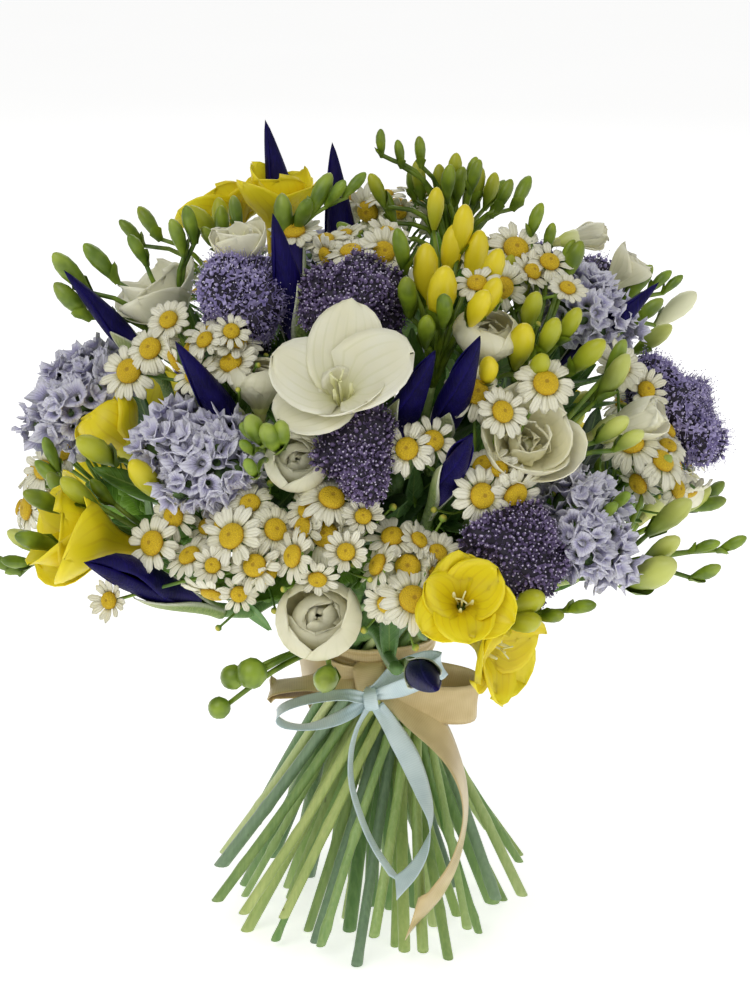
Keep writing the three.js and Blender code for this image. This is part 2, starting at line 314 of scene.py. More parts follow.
def tubes(paths, sides):
    """Round stalks in one mesh: each path is its points and the radius at each of them."""
    drawn = bpy.data.curves.new("stalks", "CURVE")
    drawn.dimensions = "3D"
    drawn.bevel_depth = 1
    drawn.bevel_resolution = (sides - 4) // 2
    drawn.use_fill_caps = True
    for points, radii in paths:
        spline = drawn.splines.new("POLY")
        spline.points.add(len(points) - 1)
        for place, point, radius in zip(spline.points, points, radii):
            place.co = (*point, 1)
            place.radius = radius
    holder = bpy.data.objects.new("stalks", drawn)
    mesh = bpy.data.meshes.new_from_object(holder)
    mesh.materials.clear()
    bpy.data.objects.remove(holder)
    bpy.data.curves.remove(drawn)
    return mesh


def new_form():
    """An empty bmesh whose points carry how far across and along a petal they lie."""
    form = bmesh.new()
    form.verts.layers.float_vector.new("petal")
    return form


def add_copy(form, mesh, matrix=None):
    """Adds a finished small mesh to a form, moved by a matrix."""
    copy = mesh.copy()
    if matrix:
        copy.transform(matrix)
    form.from_mesh(copy)
    bpy.data.meshes.remove(copy)


def merge_touching(form):
    bmesh.ops.remove_doubles(form, verts=form.verts[:], dist=0.01 * mm)


def as_mesh(form, name="part"):
    """Turns a form into a mesh, with what touches merged."""
    merge_touching(form)
    mesh = bpy.data.meshes.new(name)
    form.to_mesh(mesh)
    form.free()
    for polygon in mesh.polygons:
        polygon.use_smooth = True
    return mesh


def closed_mesh(form):
    """Turns a closed form into a mesh, its faces outwards."""
    bmesh.ops.recalc_face_normals(form, faces=form.faces[:])
    return as_mesh(form)


def piece(name, form, material, nodes, slot, thickness=0.0):
    """A finished piece of the bouquet that stands for one node or several. A piece of thin
    petals or leaves gets its thickness in mm."""
    mesh = as_mesh(form, name)
    mesh.materials.clear()
    mesh.materials.append(material)
    made = bpy.data.objects.new(name, mesh)
    bpy.context.scene.collection.objects.link(made)
    if thickness:
        wall = made.modifiers.new("thickness", "SOLIDIFY")
        wall.thickness = thickness * mm
        wall.offset = 0
    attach(made, "root")
    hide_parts(*nodes)
    return made


def petal_wires(start):
    """How far across, how far along, and which tone: three wires from the mark."""
    mark = start.node("ShaderNodeAttribute", {"attribute_name": "petal"}, (), "Vector")
    return [start.node("ShaderNodeSeparateXYZ", (), {"Vector": mark}, axis) for axis in "XYZ"]


def stalk_finish(name, light, dark, cut):
    """Fresh stalk: long streaks of two greens, each stalk its own, paler where it was cut."""
    material, shader, start = finish(name, 0.34, {"Specular IOR Level": 0.45})
    tone = petal_wires(start)[2]
    streak = mottle(start, 1.0, 3.0, (700, 700, 30)).between(0.34, 0.7)
    patch = mottle(start, 30.0, 2.0).between(0.35, 0.7)
    green = (0.22 * streak + 0.25 * patch + 0.55 * tone).blend(dark, light)
    scars = mottle(start, 1.0, 1.0, (300, 300, 90)).between(0.76, 0.8)
    scarred = (0.5 * scars).blend(green, "4a3d22")
    normal = start.node("ShaderNodeNewGeometry", out="Normal")
    down = start.node("ShaderNodeSeparateXYZ", (), {"Vector": normal}, "Z")
    colour = (0 - down).between(0.9, 0.97).blend(scarred, cut)
    wear(shader, colour, streak, 0.12 * mm)
    return material


# Each kind's radius at the foot, at the binding and at the head in mm, the gap between its
# joints and how much they swell, and its light green, dark green and the green of the cut.
stalk_kinds = {
    "iris": (3.2, 2.5, 3.0, 0, 0, "93b26a", "4f7a40", "dfe8bc"),
    "white_freesia": (2.4, 2.2, 1.6, 66, 0.12, "c3cf80", "7c9f4a", "e4eac2"),
    "yellow_freesia": (2.2, 2.1, 1.6, 74, 0.12, "d0da98", "8eae5c", "e4eac2"),
    "feverfew": (1.8, 1.9, 1.5, 40, 0.28, "afc67c", "6a9550", "dbe2b8"),
    "throatwort": (2.7, 2.3, 2.2, 44, 0.12, "8ca880", "566f58", "d4dcb4"),
    "statice": (2.3, 2.2, 1.8, 58, 0.1, "adc270", "66894a", "dbe4bc"),
}
chance = random.Random(4)
for kind, (thick, bound, thin, joint_gap, swell, light, dark, cut) in stalk_kinds.items():
    members = stems_of(kind)
    stalks = new_form()
    for stem in members:
        first, second, third, *rest = stem.line
        lowest = first + (first - second).normalized() * 6 * mm
        bow = scatter(chance, 1.8 * mm)
        line = smooth_line([lowest, (first + second) / 2 + bow, second, third, *rest], 6 * mm)
        radii = []
        travelled = chance.uniform(0, 40)
        size = chance.uniform(0.86, 1.14)
        for i, point in enumerate(line):
            below = smooth((tie.z - point.z) / tie.z, 0.0, 1.0)
            above = smooth((point.z - tie.z) / tie.z, 0.0, 0.5)
            radius = bound + (thick * size - bound) * below + (thin - bound) * above
            if i:
                travelled += (point - line[i - 1]).length / mm
            if joint_gap and travelled > joint_gap:
                radius *= 1 + swell
                travelled = 0
            radii.append(radius * mm)
        stalk = new_form()
        add_copy(stalk, tubes([(line, radii)], 12))
        merge_touching(stalk)
        whole = stalk.verts[:] + stalk.edges[:] + stalk.faces[:]
        trimmed = bmesh.ops.bisect_plane(
            stalk, geom=whole, plane_co=(0, 0, stem.foot), plane_no=(0, 0, 1), clear_inner=True
        )
        rim = [edge for edge in trimmed["geom_cut"] if isinstance(edge, bmesh.types.BMEdge)]
        bmesh.ops.contextual_create(stalk, geom=rim)
        tone = chance.random()
        mark = stalk.verts.layers.float_vector["petal"]
        for vert in stalk.verts:
            vert[mark] = (0, 0, tone)
        add_copy(stalks, closed_mesh(stalk))
    material = stalk_finish(kind + "_stalk", light, dark, cut)
    piece(kind + "_stalks", stalks, material, [stem.name for stem in members], "green_stem")

# ---------------------------------------------------------------- leaves
# The upper leaves are left on the stalks and fill the bouquet between the heads: lance
# shaped, folded along the middle, dark green above and paler along the rib.


def sheet_form(form, across, along, place, tone=0.0):
    """A petal or leaf: a flat grid whose points are put in place by a formula.
    The formula takes how far across, from -1 to 1, and along, from 0 to 1, a point lies."""
    made = bmesh.ops.create_grid(form, x_segments=across, y_segments=along, size=1)["verts"]
    mark = form.verts.layers.float_vector["petal"]
    for vert in made:
        u, v = vert.co.x, (vert.co.y + 1) / 2
        vert.co = place(u, v)
        vert[mark] = (u, v, tone)
    return made


def leaf_mesh(length, width, arch, fold, lobes=0):
    """A leaf along +Y that arches over towards +Z, cut into lobes or plain."""

    def place(u, v):
        half = width * math.sin(math.pi * min(1, v * 0.95 + 0.04)) ** 0.75
        if lobes:
            half *= 0.58 + 0.42 * abs(math.sin(math.pi * lobes * v))
        lift = fold * abs(u) * half + arch * v * v
        return Vector((u * half, length * v, lift)) * mm

    form = new_form()
    sheet_form(form, 4, 3 * lobes or 7, place)
    return as_mesh(form)


def leaf_finish(name, light, dark, rib):
    """A leaf: mottled green with a pale middle rib and faint side veins."""
    material, shader, start = finish(name, 0.45)
    across, along, _ = petal_wires(start)
    tint = mottle(start, 70.0, 3.0).between(0.3, 0.7)
    slanted = along * 70.0 - abs(across) * 9.0
    side_veins = start.math("SINE", slanted).between(0.7, 1.0)
    blade = (0.8 * tint + 0.2 * side_veins).blend(dark, light)
    middle = abs(across).between(0.0, 0.12)
    wear(shader, middle.blend(rib, blade), side_veins, 0.12 * mm)
    return material


# Each kind's leaves: how many, their length, half width, arch and fold, and their two greens.
leaf_kinds = {
    "iris": (4, 48, 5.0, 10, 0.3, "6f9a50", "3c6630"),
    "white_freesia": (14, 44, 6.0, 8, 0.35, "6b9a30", "345a1a"),
    "yellow_freesia": (14, 44, 6.0, 8, 0.35, "6b9a30", "345a1a"),
    "feverfew": (9, 30, 9.0, 4, 0.2, "86b238", "42691f"),
    "throatwort": (11, 42, 8.0, 6, 0.3, "45692f", "26431c"),
    "statice": (11, 40, 7.0, 8, 0.25, "5a8638", "2f5520"),
}
lowest_leaf = 188
chance = random.Random(7)
for kind, (count, length, width, arch, fold, light, dark) in leaf_kinds.items():
    leaves = new_form()
    shape = leaf_mesh(length, width, arch, fold, 4 if kind == "feverfew" else 0)
    members = stems_of(kind)
    for stem in members:
        for i in range(count):
            lean = math.radians(chance.uniform(26, 66))
            away = stem.toward(360 * (i + chance.uniform(-0.3, 0.3)) / count)
            along = stem.out * math.cos(lean) + away * math.sin(lean)
            upper = stem.out * math.sin(lean) - away * math.cos(lean)
            base = stem.spot(0, 0, chance.uniform(-48, -4))
            tip = base + along * length * mm
            too_far = (tip - tie).length > (stem.neck - tie).length + 15 * mm
            if too_far or tip.z < lowest_leaf * mm:
                continue
            turned = Matrix((along.cross(upper), along, upper)).transposed().to_4x4()
            size = Matrix.Scale(chance.uniform(0.8, 1.1), 4)
            add_copy(leaves, shape, Matrix.Translation(base) @ turned @ size)
    finish_of_kind = leaf_finish(kind + "_leaf", light, dark, "7f9c52")
    nodes = [stem.name for stem in members]
    piece(kind + "_leaves", leaves, finish_of_kind, nodes, "green_leaf", 0.3)

# ---------------------------------------------------------------- irises
# A closed iris is three dark petals rolled round each other into a point, held below by
# two long green sheaths with papery edges.

iris_length = 85
iris_radius = 7.0


def iris_width(v):
    """The bud's radius from its foot to its point, as a share of its widest."""
    swollen = 0.36 + 0.64 * smooth(v, 0.0, 0.5)
    drawn_in = max(0.0, (v - 0.47) / 0.53)
    return swollen * max(0.0, 1 - drawn_in ** 1.5) ** 0.9


def iris_middle(height, bend):
    """How far the bud's middle line has bent sideways at a height, in mm."""
    share = height / iris_length
    return bend * share * share


def rolled_petal(form, start, bend, loose):
    """One of the three petals, wound up the bud and lapped over its neighbour at one edge.
    A loose petal stands off towards its top."""

    def place(u, v):
        height = iris_length * (0.2 + 0.8 * v) * (1 - 0.22 * loose * abs(u) * v)
        share = height / iris_length
        radius = iris_radius * iris_width(share) * (1 + 0.09 * u)
        radius += loose * 7.0 * smooth(v, 0.25, 0.7) * (1 - smooth(v, 0.8, 1.0))
        angle = start + u * (1.22 - 0.3 * loose * v) + 1.5 * v
        x = radius * math.cos(angle) + iris_middle(height, bend)
        y = radius * math.sin(angle) * 0.86
        return Vector((x, y, height)) * mm

    sheet_form(form, 8, 16, place, start / 6)


def sheath(form, start, length, bend, reach):
    """A green sheath: broad at its foot, wrapped close round the bud and drawn to a point."""

    def place(u, v):
        height = length * v
        body = iris_radius * iris_width(height / iris_length)
        radius = max(2.9, body * 1.09 + 0.5) + 0.9 * v ** 3
        half = reach * (1 - 0.97 * v ** 1.5)
        angle = start + u * half
        radius *= 1.0 + 0.05 * u
        x = radius * math.cos(angle) + iris_middle(height, bend)
        return Vector((x, radius * math.sin(angle) * 0.88, height)) * mm

    sheet_form(form, 8, 12, place, start / 6)


iris_finish, shader, start = finish("iris_petal", 0.5, {"Specular IOR Level": 0.14})
across, along, _ = petal_wires(start)
edge = abs(across).between(0.8, 1.0)
vein = mottle(start, 1.0, 3.0, (1400, 1400, 60)).between(0.4, 0.7)
velvet = mottle(start, 130.0, 2.0).between(0.3, 0.7)
deep = (0.3 * vein + 0.4 * edge + 0.3 * velvet).blend("080336", "180e66")
violet = along.between(0.0, 0.36).blend("463c90", deep)
wear(shader, violet, vein, 0.12 * mm)

sheath_finish, shader, start = finish("iris_sheath", 0.5)
across, along, tone = petal_wires(start)
rib = mottle(start, 1.0, 3.0, (1500, 1500, 40)).between(0.38, 0.68)
leafy = (0.6 * rib + 0.4 * tone).blend("5f8038", "a3b566")
papery = abs(across).between(0.62, 0.95)
tipped = along.between(0.55, 1.0).blend(leafy, "b9bf8c")
wear(shader, papery.blend(tipped, "e0e4cc"), rib, 0.2 * mm)

# In the order of the stems: the way each bud leans, clockwise from up and how far in
# degrees, its place on the head in mm, its size, how far its point bends in mm, and how
# loose its outer petal has come.
iris_poses = [
    (90, 0, (0, 0, -6), 1.0, 1, 0),
    (90, 3, (0, 0, 4), 0.9, -1, 0),
    (90, 3, (0, 0, -6), 0.95, -3, 0),
    (180, 2, (33, 19, 19), 0.74, 2, 0),
    (270, 2, (0, 0, -4), 0.92, -3, 0),
    (75, 13, (-8, 4, 0), 0.86, 2, 0.1),
    (60, 3, (-3, 2, 2), 0.9, 2, 0.1),
    (60, 6, (-2, -2, 12), 0.72, 1, 0.3),
    (163, 12, (-16, 10, 8), 0.82, 2, 0),
    (270, 2, (0, 0, -6), 1.0, 0, 0.7),
    (170, 8, (6, 2, -2), 0.85, 0, 0),
]
chance = random.Random(11)
for stem, (turn, lean, place, size, bend, loose) in zip(stems_of("iris"), iris_poses):
    first_turn = chance.uniform(0, 2 * math.pi)
    petals, sheaths = new_form(), new_form()
    for i in range(3):
        rolled_petal(petals, i * 2 * math.pi / 3, bend, loose if i == 0 else 0)
    for i in range(2):
        sheath(sheaths, first_turn + i * math.pi, 54 - 11 * i, bend, 1.75)
    matrix = stem.facing(turn, lean, place) @ Matrix.Scale(size, 4)
    foot = matrix.inverted() @ (stem.neck - stem.out * 8 * mm)
    stalk_line = smooth_line([foot, Vector((0, 0, 0)), Vector((0, 0, 12 * mm))], 4 * mm)
    add_copy(sheaths, tubes([even(stalk_line, 2.9)], 10))
    for name, form, material, slot in (
        ("_petals", petals, iris_finish, "iris_petal"),
        ("_sheath", sheaths, sheath_finish, "green_leaf"),
    ):
        bmesh.ops.transform(form, matrix=matrix, verts=form.verts[:])
        bmesh.ops.recalc_face_normals(form, faces=form.faces[:])
        piece(stem.name + name, form, material, [stem.name], slot, 0.5)

# ---------------------------------------------------------------- freesias
# A freesia carries a row of buds on a wiry arched end, the oldest one or two of them open:
# six broad soft petals on a funnel, with three stamens and a branched style inside.


def tepal(form, turn, length, width, opening, curl, inset, ruffle, tube, tone):
    """One petal: up the tube for a share of its length, out by an opening angle, and curled
    at its tip."""
    steps = 28
    radius, height = 1.7, 0.0
    line = []
    for i in range(steps + 1):
        v = i / steps
        lean = 7 + (opening - 7) * smooth(v, tube, tube + 0.36) + curl * smooth(v, 0.6, 1.0)
        line.append((radius, height))
        radius += length / steps * math.sin(math.radians(lean))
        height += length / steps * math.cos(math.radians(lean))

    def place(u, v):
        v = 1 - (1 - v) ** 1.5
        low = min(int(v * steps), steps - 1)
        share = v * steps - low
        radius = line[low][0] + (line[low + 1][0] - line[low][0]) * share
        height = line[low][1] + (line[low + 1][1] - line[low][1]) * share
        rounding = max(0.0, 1 - max(0.0, (v - 0.62) / 0.38) ** 2.4) ** 0.5
        half = width * (0.22 + 0.78 * smooth(v, 0.1, 0.62)) * rounding
        radius -= inset * smooth(v, 0.0, 0.3)
        angle = u * half / max(radius, 0.6 * half, 0.1)
        wave = ruffle * math.sin(3.2 * u + 6 * v + turn) * smooth(v, 0.5, 1.0)
        wave += 0.35 * ruffle * math.sin(9 * u + 2 * turn) * smooth(v, 0.7, 1.0)
        crease = -0.6 * math.exp(-(u * 4) ** 2) * smooth(v, 0.2, 0.5) * (1 - smooth(v, 0.8, 1.0))
        radius += 1.2 * u * u * smooth(v, 0.4, 0.8) * inset
        return polar(radius, angle + turn, height + wave + crease) * mm

    sheet_form(form, 10, 14, place, tone)


def ring(first, opening, curl, size=1.0, inset=0.0):
    """A ring of three petals: for each its place round the flower in degrees, its opening
    and curl in degrees, its length and width, and how far it sits inside the outer ones."""
    return [(first + i * 120, opening, curl, size, size, inset) for i in range(3)]


def six_petals(opening, curl, inner_opening, inner_curl):
    """The petals of a plain flower: an outer and an inner ring."""
    return ring(90, opening, curl) + ring(30, inner_opening, inner_curl, 0.97, 0.9)


def blossom(seed, length, width, petals, ruffle=1.2, tube=0.2, cream=0.0):
    """An open freesia on +Z, as a mesh. Cream says how far its petals take the deeper of
    their two colours."""
    chance = random.Random(seed)
    form = new_form()
    for turn, opening, curl, long, wide, inset in petals:
        around = math.radians(turn) + chance.uniform(-0.09, 0.09)
        long *= length * chance.uniform(0.95, 1.05)
        wide *= width * chance.uniform(0.94, 1.06)
        opened = opening + chance.uniform(-5, 5)
        curled = curl + chance.uniform(-8, 8)
        waved = ruffle * chance.uniform(0.6, 1.4)
        tone = cream + 0.4 * chance.random()
        tepal(form, around, long, wide, opened, curled, inset, waved, tube, tone)
    return as_mesh(form)


def turned_order(face):
    """Sorts faces by height, then by their angle round +Z, so that each run gives the same."""
    centre = face.calc_center_median()
    return round(centre.z / mm, 3) * 1e4 + math.atan2(centre.y, centre.x)


def turned(form, profile, sides, tone):
    """A round shape: a line of (radius, height) points in mm, spun about +Z."""
    mark = form.verts.layers.float_vector["petal"]
    top = profile[-1][1]
    widest = max(radius for radius, height in profile)
    verts = [form.verts.new((radius * mm, 0, height * mm)) for radius, height in profile]
    for vert, (radius, height) in zip(verts, profile):
        vert[mark] = (radius / widest, height / top, tone)
    edges = [form.edges.new(pair) for pair in zip(verts, verts[1:])]
    bmesh.ops.spin(
        form, geom=verts + edges, cent=(0, 0, 0), axis=(0, 0, 1),
        angle=2 * math.pi, steps=sides, use_merge=True,
    )
    merge_touching(form)
    form.faces.sort(key=turned_order)


def turned_mesh(profile, sides, tone=0.0):
    """A round shape as a mesh."""
    form = new_form()
    turned(form, profile, sides, tone)
    return closed_mesh(form)


def bud_mesh(length, radius, tone, bend):
    """A freesia bud on +Z: a long drop, folded in three, in its small green bract."""
    form = new_form()
    swell = ((0.16, 0.5), (0.34, 0.8), (0.56, 1.0), (0.76, 0.92), (0.9, 0.62), (0.97, 0.32))
    body = [(max(0.5, width * radius), share * length) for share, width in swell]
    turned(form, [(0, 0), (1.0, 0.3), (1.3, 0.06 * length), *body, (0, length)], 11, tone)
    for vert in form.verts:
        height = vert.co.z / (length * mm)
        angle = math.atan2(vert.co.y, vert.co.x)
        lap = (3 * angle / (2 * math.pi) + 0.5 * height) % 1.0
        fold = 1 + 0.10 * (lap - 0.5) * smooth(height, 0.15, 0.5) * (1 - smooth(height, 0.9, 1.0))
        vert.co.x *= fold
        vert.co.y *= fold
        vert.co.x += bend * mm * height * height

    def bract(u, v):
        half = 1.7 * (1 - 0.8 * v ** 2.2)
        depth = 1.5 + (0.78 * radius) * smooth(v, 0.0, 0.9)
        height = 0.4 * length * v
        return Vector((-depth * math.cos(u * half), depth * math.sin(u * half), height)) * mm

    sheet_form(form, 4, 3, bract, -0.5)
    return closed_mesh(form)


ripest = 5
buds = []
for i in range(ripest + 1):
    ripe = i / ripest
    buds.append(bud_mesh(18 + 9 * ripe, 3.1 + 2.2 * ripe, ripe, 1.6 - ripe))
round_bud = [(0, 0), (1.6, 0.3), (4.4, 2.2), (5.6, 5.2), (5.0, 8.2), (2.6, 10.2), (0, 10.8)]
buds.append(turned_mesh(round_bud, 14, 0.1))
heart = turned_mesh([(0, 2), (3, 6), (6, 12), (7, 18), (5.6, 23), (2.6, 26), (0, 27)], 12, 0.6)

# The forms that the open flowers take, from wide open to still closed.
grand = [(90, 66, -4, 1.2, 0.8, 0), (164, 54, -4, 1.12, 1.08, 0.9), (14, 51, -6, 1.16, 1.1, 1.3)]
grand += [(216, 76, 8, 0.92, 0.8, 1.0), (314, 58, -40, 0.9, 0.86, 1.6), (110, 24, -6, 0.62, 0.5, 2.2)]
flower_forms = {
    "grand": blossom(1, 38, 19.0, grand, 1.0),
    "open": blossom(2, 36, 18.0, six_petals(60, 6, 48, -6), 1.5),
    "frilled": blossom(4, 37, 17.0, six_petals(50, 22, 40, 10), 2.6),
    "half": blossom(3, 35, 17.0, six_petals(40, -18, 32, -24), 1.2),
    "cup": blossom(5, 34, 18.5, ring(90, 40, -88) + ring(30, 26, -96, 0.9, 1.2), 0.6, 0.14),
    "goblet": blossom(8, 31, 16.0, six_petals(31, -26, 24, -32), 0.8),
    "globe": blossom(
        10, 34, 20.0,
        ring(90, 44, -116) + ring(30, 34, -120, 0.92, 1.3) + ring(80, 21, -112, 0.82, 1.6),
        0.5, 0.04, 0.3,
    ),
    "closed": blossom(7, 31, 12.5, six_petals(22, -40, 16, -34), 0.4),
    "double": blossom(
        9, 36, 18.5,
        ring(70, 60, -34, 1.06) + ring(10, 50, -50, 1.0, 0.8)
        + ring(50, 36, -70, 0.84, 1.5) + ring(110, 16, -50, 0.7, 2.0),
        1.6, 0.2, 0.3,
    ),
}


def inner_parts(seed):
    """The three stamens and the branched style of an open freesia, on +Z."""
    chance = random.Random(seed)
    paths = []
    for i in range(3):
        away = polar(1, i * 2 * math.pi / 3 + chance.uniform(-0.4, 0.4))
        points = [away * far * mm for far in (1.2, 2.0, 3.6, 4.2, 4.4)]
        for point, height in zip(points, (6, 13, 19, 20, 25)):
            point.z = height * mm
        paths.append((points, [r * mm for r in (0.45, 0.4, 0.4, 0.9, 0.55)]))
    style = [Vector((0, 0, z)) * mm for z in (5, 14, 24)]
    paths.append(even(style, 0.45))
    for i in range(3):
        away = polar(3, i * 2 * math.pi / 3 + 1, 4)
        paths.append(([style[-1], style[-1] + away * mm], [0.4 * mm, 0.3 * mm]))
    return tubes(paths, 6)


stamen_bank = [inner_parts(s) for s in range(3)]

# How each freesia grows, in the order of the stems: its flowers, its rows of buds and its
# single buds. A flower: the way it leans clockwise from up and how far in degrees, its
# place (right, up, out) on the head in mm, its size and its form. A row: the way it runs,
# the number of buds, the ripest of them, how far from the head's foot it starts and its
# form. A single bud: the way and the lean of its stalk, the reach of the stalk in mm, how
# ripe the bud is from 0 to 5, or 6 for a round one, and its size.
white_freesias = [
    ([(180, 5, (4, -12, 18), 1.1, "grand")], [], []),
    ([(0, 35, (-12, 14, 12), 0.9, "globe"), (125, 20, (8, -6, 7), 0.9, "globe")], [],
     [(160, 20, 45, 1, 1.1), (145, 25, 45, 1, 1.1), (135, 25, 45, 1, 1), (185, 15, 40, 0, 0.8),
      (170, 25, 50, 0, 0.7), (165, 35, 55, 0, 0.8)]),
    ([(235, 15, (-1, 6, 8), 1.1, "double"), (0, 25, (-8, 38, 22), 1, "globe"),
      (105, 40, (37, 10, 8), 1.2, "closed")], [],
     [(100, 35, 40, 2, 0.9), (110, 40, 45, 2, 0.8), (65, 60, 50, 2, 1.1), (60, 60, 60, 1, 0.9)]),
    ([(0, 10, (1, 1, 6), 1.2, "globe")], [],
     [(165, 50, 15, 1, 1.4), (235, 50, 35, 6, 1.1), (240, 60, 40, 6, 0.9), (230, 65, 50, 6, 0.8)]),
    ([(330, 5, (6, -7, 14), 1.1, "goblet")], [(30, 5, 0.15, 34, "comb")], [(300, 30, 40, 1, 0.8)]),
    ([(300, 5, (-2, 0, -2), 1.25, "half")], [],
     [(200, 15, 45, 0, 1.2), (45, 5, 45, 0, 0.9), (20, 25, 45, 1, 0.9), (15, 30, 50, 0, 1),
      (205, 30, 50, 1, 1.2), (195, 40, 45, 1, 1.1), (215, 40, 35, 0, 0.8)]),
    ([(180, 50, (6, 29, 38), 0.85, "closed"), (190, 15, (0, 0, 26), 0.9, "goblet")], [],
     [(180, 20, 35, 1, 1), (180, 25, 45, 0, 0.8), (180, 30, 50, 0, 0.7), (190, 60, 30, 2, 1),
      (165, 50, 45, 5, 0.9), (230, 40, 35, 1, 0.9)]),
    ([], [],
     [(65, 25, 30, 2, 1.2), (230, 30, 25, 2, 1.6), (305, 40, 50, 0, 0.8), (315, 35, 50, 0, 0.8),
      (245, 10, 35, 2, 1), (120, 20, 45, 0, 0.8), (120, 25, 55, 0, 0.8), (155, 25, 45, 1, 0.8),
      (30, 40, 45, 1, 0.9)]),
    ([(0, 10, (0, 4, 4), 1.1, "open"), (120, 35, (8, -4, 4), 0.95, "cup")],
     [(0, 5, 0.3, 22, "comb"), (240, 5, 0.3, 16, "comb")], []),
    ([(40, 20, (0, 4, 4), 1, "cup")], [(110, 3, 0.25, 18, "comb")],
     [(350, 80, 35, 1, 0.9), (345, 95, 30, 1, 0.8), (345, 70, 30, 1, 0.8)]),
    ([(300, 20, (0, 4, 4), 1, "closed")],
     [(200, 4, 0.3, 12, "file"), (330, 4, 0.25, 18, "comb")], []),
]
yellow_freesias = [
    ([(290, 30, (2, 1, 5), 1.1, "cup")], [], [(115, 35, 40, 2, 1.2)]),
    ([(245, 30, (-4, -4, 8), 1.5, "half")], [],
     [(260, 35, 50, 1, 1.1), (275, 15, 45, 2, 1), (235, 40, 50, 0, 1.2), (30, 25, 35, 3, 1.1),
      (290, 30, 35, 0, 0.9), (240, 50, 45, 0, 0.8)]),
    ([(290, 15, (-4, 2, 27), 0.9, "frilled"), (130, 50, (-3, -2, 8), 1, "frilled")], [],
     [(100, 40, 40, 1, 0.8), (95, 45, 50, 0, 0.9), (110, 30, 30, 2, 1.1), (90, 30, 30, 2, 1.2)]),
    ([(230, 25, (0, 12, 20), 1, "open"), (0, 25, (2, 24, 16), 1.15, "half")],
     [(60, 4, 0.35, 30, "file")], [(150, 30, 45, 1, 0.9), (170, 40, 50, 0, 0.9)]),
    ([], [],
     [(355, 35, 30, 5, 1), (20, 40, 40, 5, 0.9), (40, 40, 40, 5, 0.9), (245, 10, 30, 5, 1.1),
      (70, 25, 40, 4, 0.9), (115, 20, 35, 4, 0.9), (165, 20, 40, 5, 0.8), (25, 35, 50, 4, 0.9),
      (10, 45, 60, 3, 0.8), (210, 20, 40, 0, 1.1), (335, 35, 45, 0, 1.1), (280, 25, 35, 1, 1.1),
      (230, 30, 30, 1, 1)]),
    ([], [],
     [(260, 40, 30, 3, 1.2), (240, 25, 35, 2, 1), (295, 20, 35, 2, 1), (235, 45, 35, 2, 1),
      (180, 30, 30, 2, 1.1), (50, 40, 50, 1, 1), (25, 45, 65, 1, 0.8), (35, 45, 60, 1, 0.7),
      (45, 40, 55, 1, 0.7), (260, 60, 45, 4, 0.8), (200, 10, 35, 2, 0.9), (320, 40, 45, 2, 0.9),
      (25, 55, 35, 2, 1), (10, 50, 40, 2, 0.9)]),
    ([], [],
     [(0, 50, 60, 0, 0.7), (0, 45, 50, 0, 0.7), (0, 35, 45, 1, 0.7), (20, 40, 30, 2, 0.8),
      (35, 25, 25, 2, 0.8), (0, 15, 30, 2, 0.8), (0, 0, 30, 1, 0.8), (90, 25, 20, 2, 0.8),
      (180, 10, 25, 2, 0.8), (130, 25, 20, 1, 0.8), (180, 35, 25, 0, 1), (180, 45, 35, 0, 1),
      (10, 65, 40, 2, 0.8), (20, 70, 30, 0, 0.9), (10, 95, 40, 0, 1.1), (300, 30, 35, 1, 0.8),
      (250, 35, 30, 1, 0.8), (330, 35, 30, 1, 0.9), (30, 45, 30, 1, 0.8), (60, 20, 20, 2, 0.9),
      (330, 20, 25, 1, 0.9), (210, 20, 25, 2, 0.8), (150, 20, 20, 2, 0.9)]),
    ([(60, 30, (4, 4, 4), 1.1, "open"), (180, 30, (0, -6, 4), 1, "cup")],
     [(60, 5, 0.4, 20, "comb"), (300, 5, 0.4, 14, "comb")], []),
    ([(300, 20, (0, 4, 4), 1.1, "open"), (160, 35, (4, -6, 4), 1, "half")],
     [(300, 5, 0.4, 20, "comb"), (40, 5, 0.4, 14, "comb")], []),
]
# A row arches over like a comb or fans out in a file: the radius of its arch, the gap
# between buds and how far up the first one stands, in mm, and how much a bud points out of
# the bouquet and along its row.
row_forms = {
    "comb": (44, 8.0, 0, 0.9, 1.1),
    "file": (30, 7.5, 8, 1.4, 0.4),
}


def glow(weight, radius, scale):
    """How much light passes through a thin petal, how far for each colour, in metres."""
    return {"Subsurface Weight": weight, "Subsurface Radius": radius, "Subsurface Scale": scale}


def petal_finish(name, body, throat, shade, vein_colour):
    """A freesia petal: soft and even, darker down its throat, with faint long veins."""
    material, shader, start = finish(name, 0.45, glow(0.4, (0.003, 0.003, 0.004), 1))
    across, along, tone = petal_wires(start)
    lines = start.math("SINE", across * 26.0)
    vein = lines.between(0.55, 1.0) * (1 - along.between(0.55, 0.95)) * 0.35
    cloud = mottle(start, 60.0).between(0.3, 0.7)
    skin = (0.4 * cloud + 0.7 * tone).blend(body, shade)
    veined = vein.blend(skin, vein_colour)
    deep = along.between(0.05, 0.5)
    wear(shader, deep.blend(throat, veined), vein, 0.1 * mm)
    return material


def bud_finish(name, ripe_colour, middle_colour, green_colour, dark_green):
    """Buds from hard green to full colour: the riper, the further the colour has come."""
    material, shader, start = finish(name, 0.38, {"Specular IOR Level": 0.45})
    _, along, tone = petal_wires(start)
    ripeness = (tone + 0.34 * along - 0.16).between(0.15, 0.95)
    cloud = mottle(start, 120.0).between(0.3, 0.7)
    green = (0.7 * cloud + 0.3 * along).blend(dark_green, green_colour)
    first = ripeness.between(0.0, 0.5).blend(green, middle_colour)
    colour = ripeness.between(0.45, 1.0).blend(first, ripe_colour)
    wear(shader, colour, mottle(start, 260.0), 0.1 * mm)
    return material


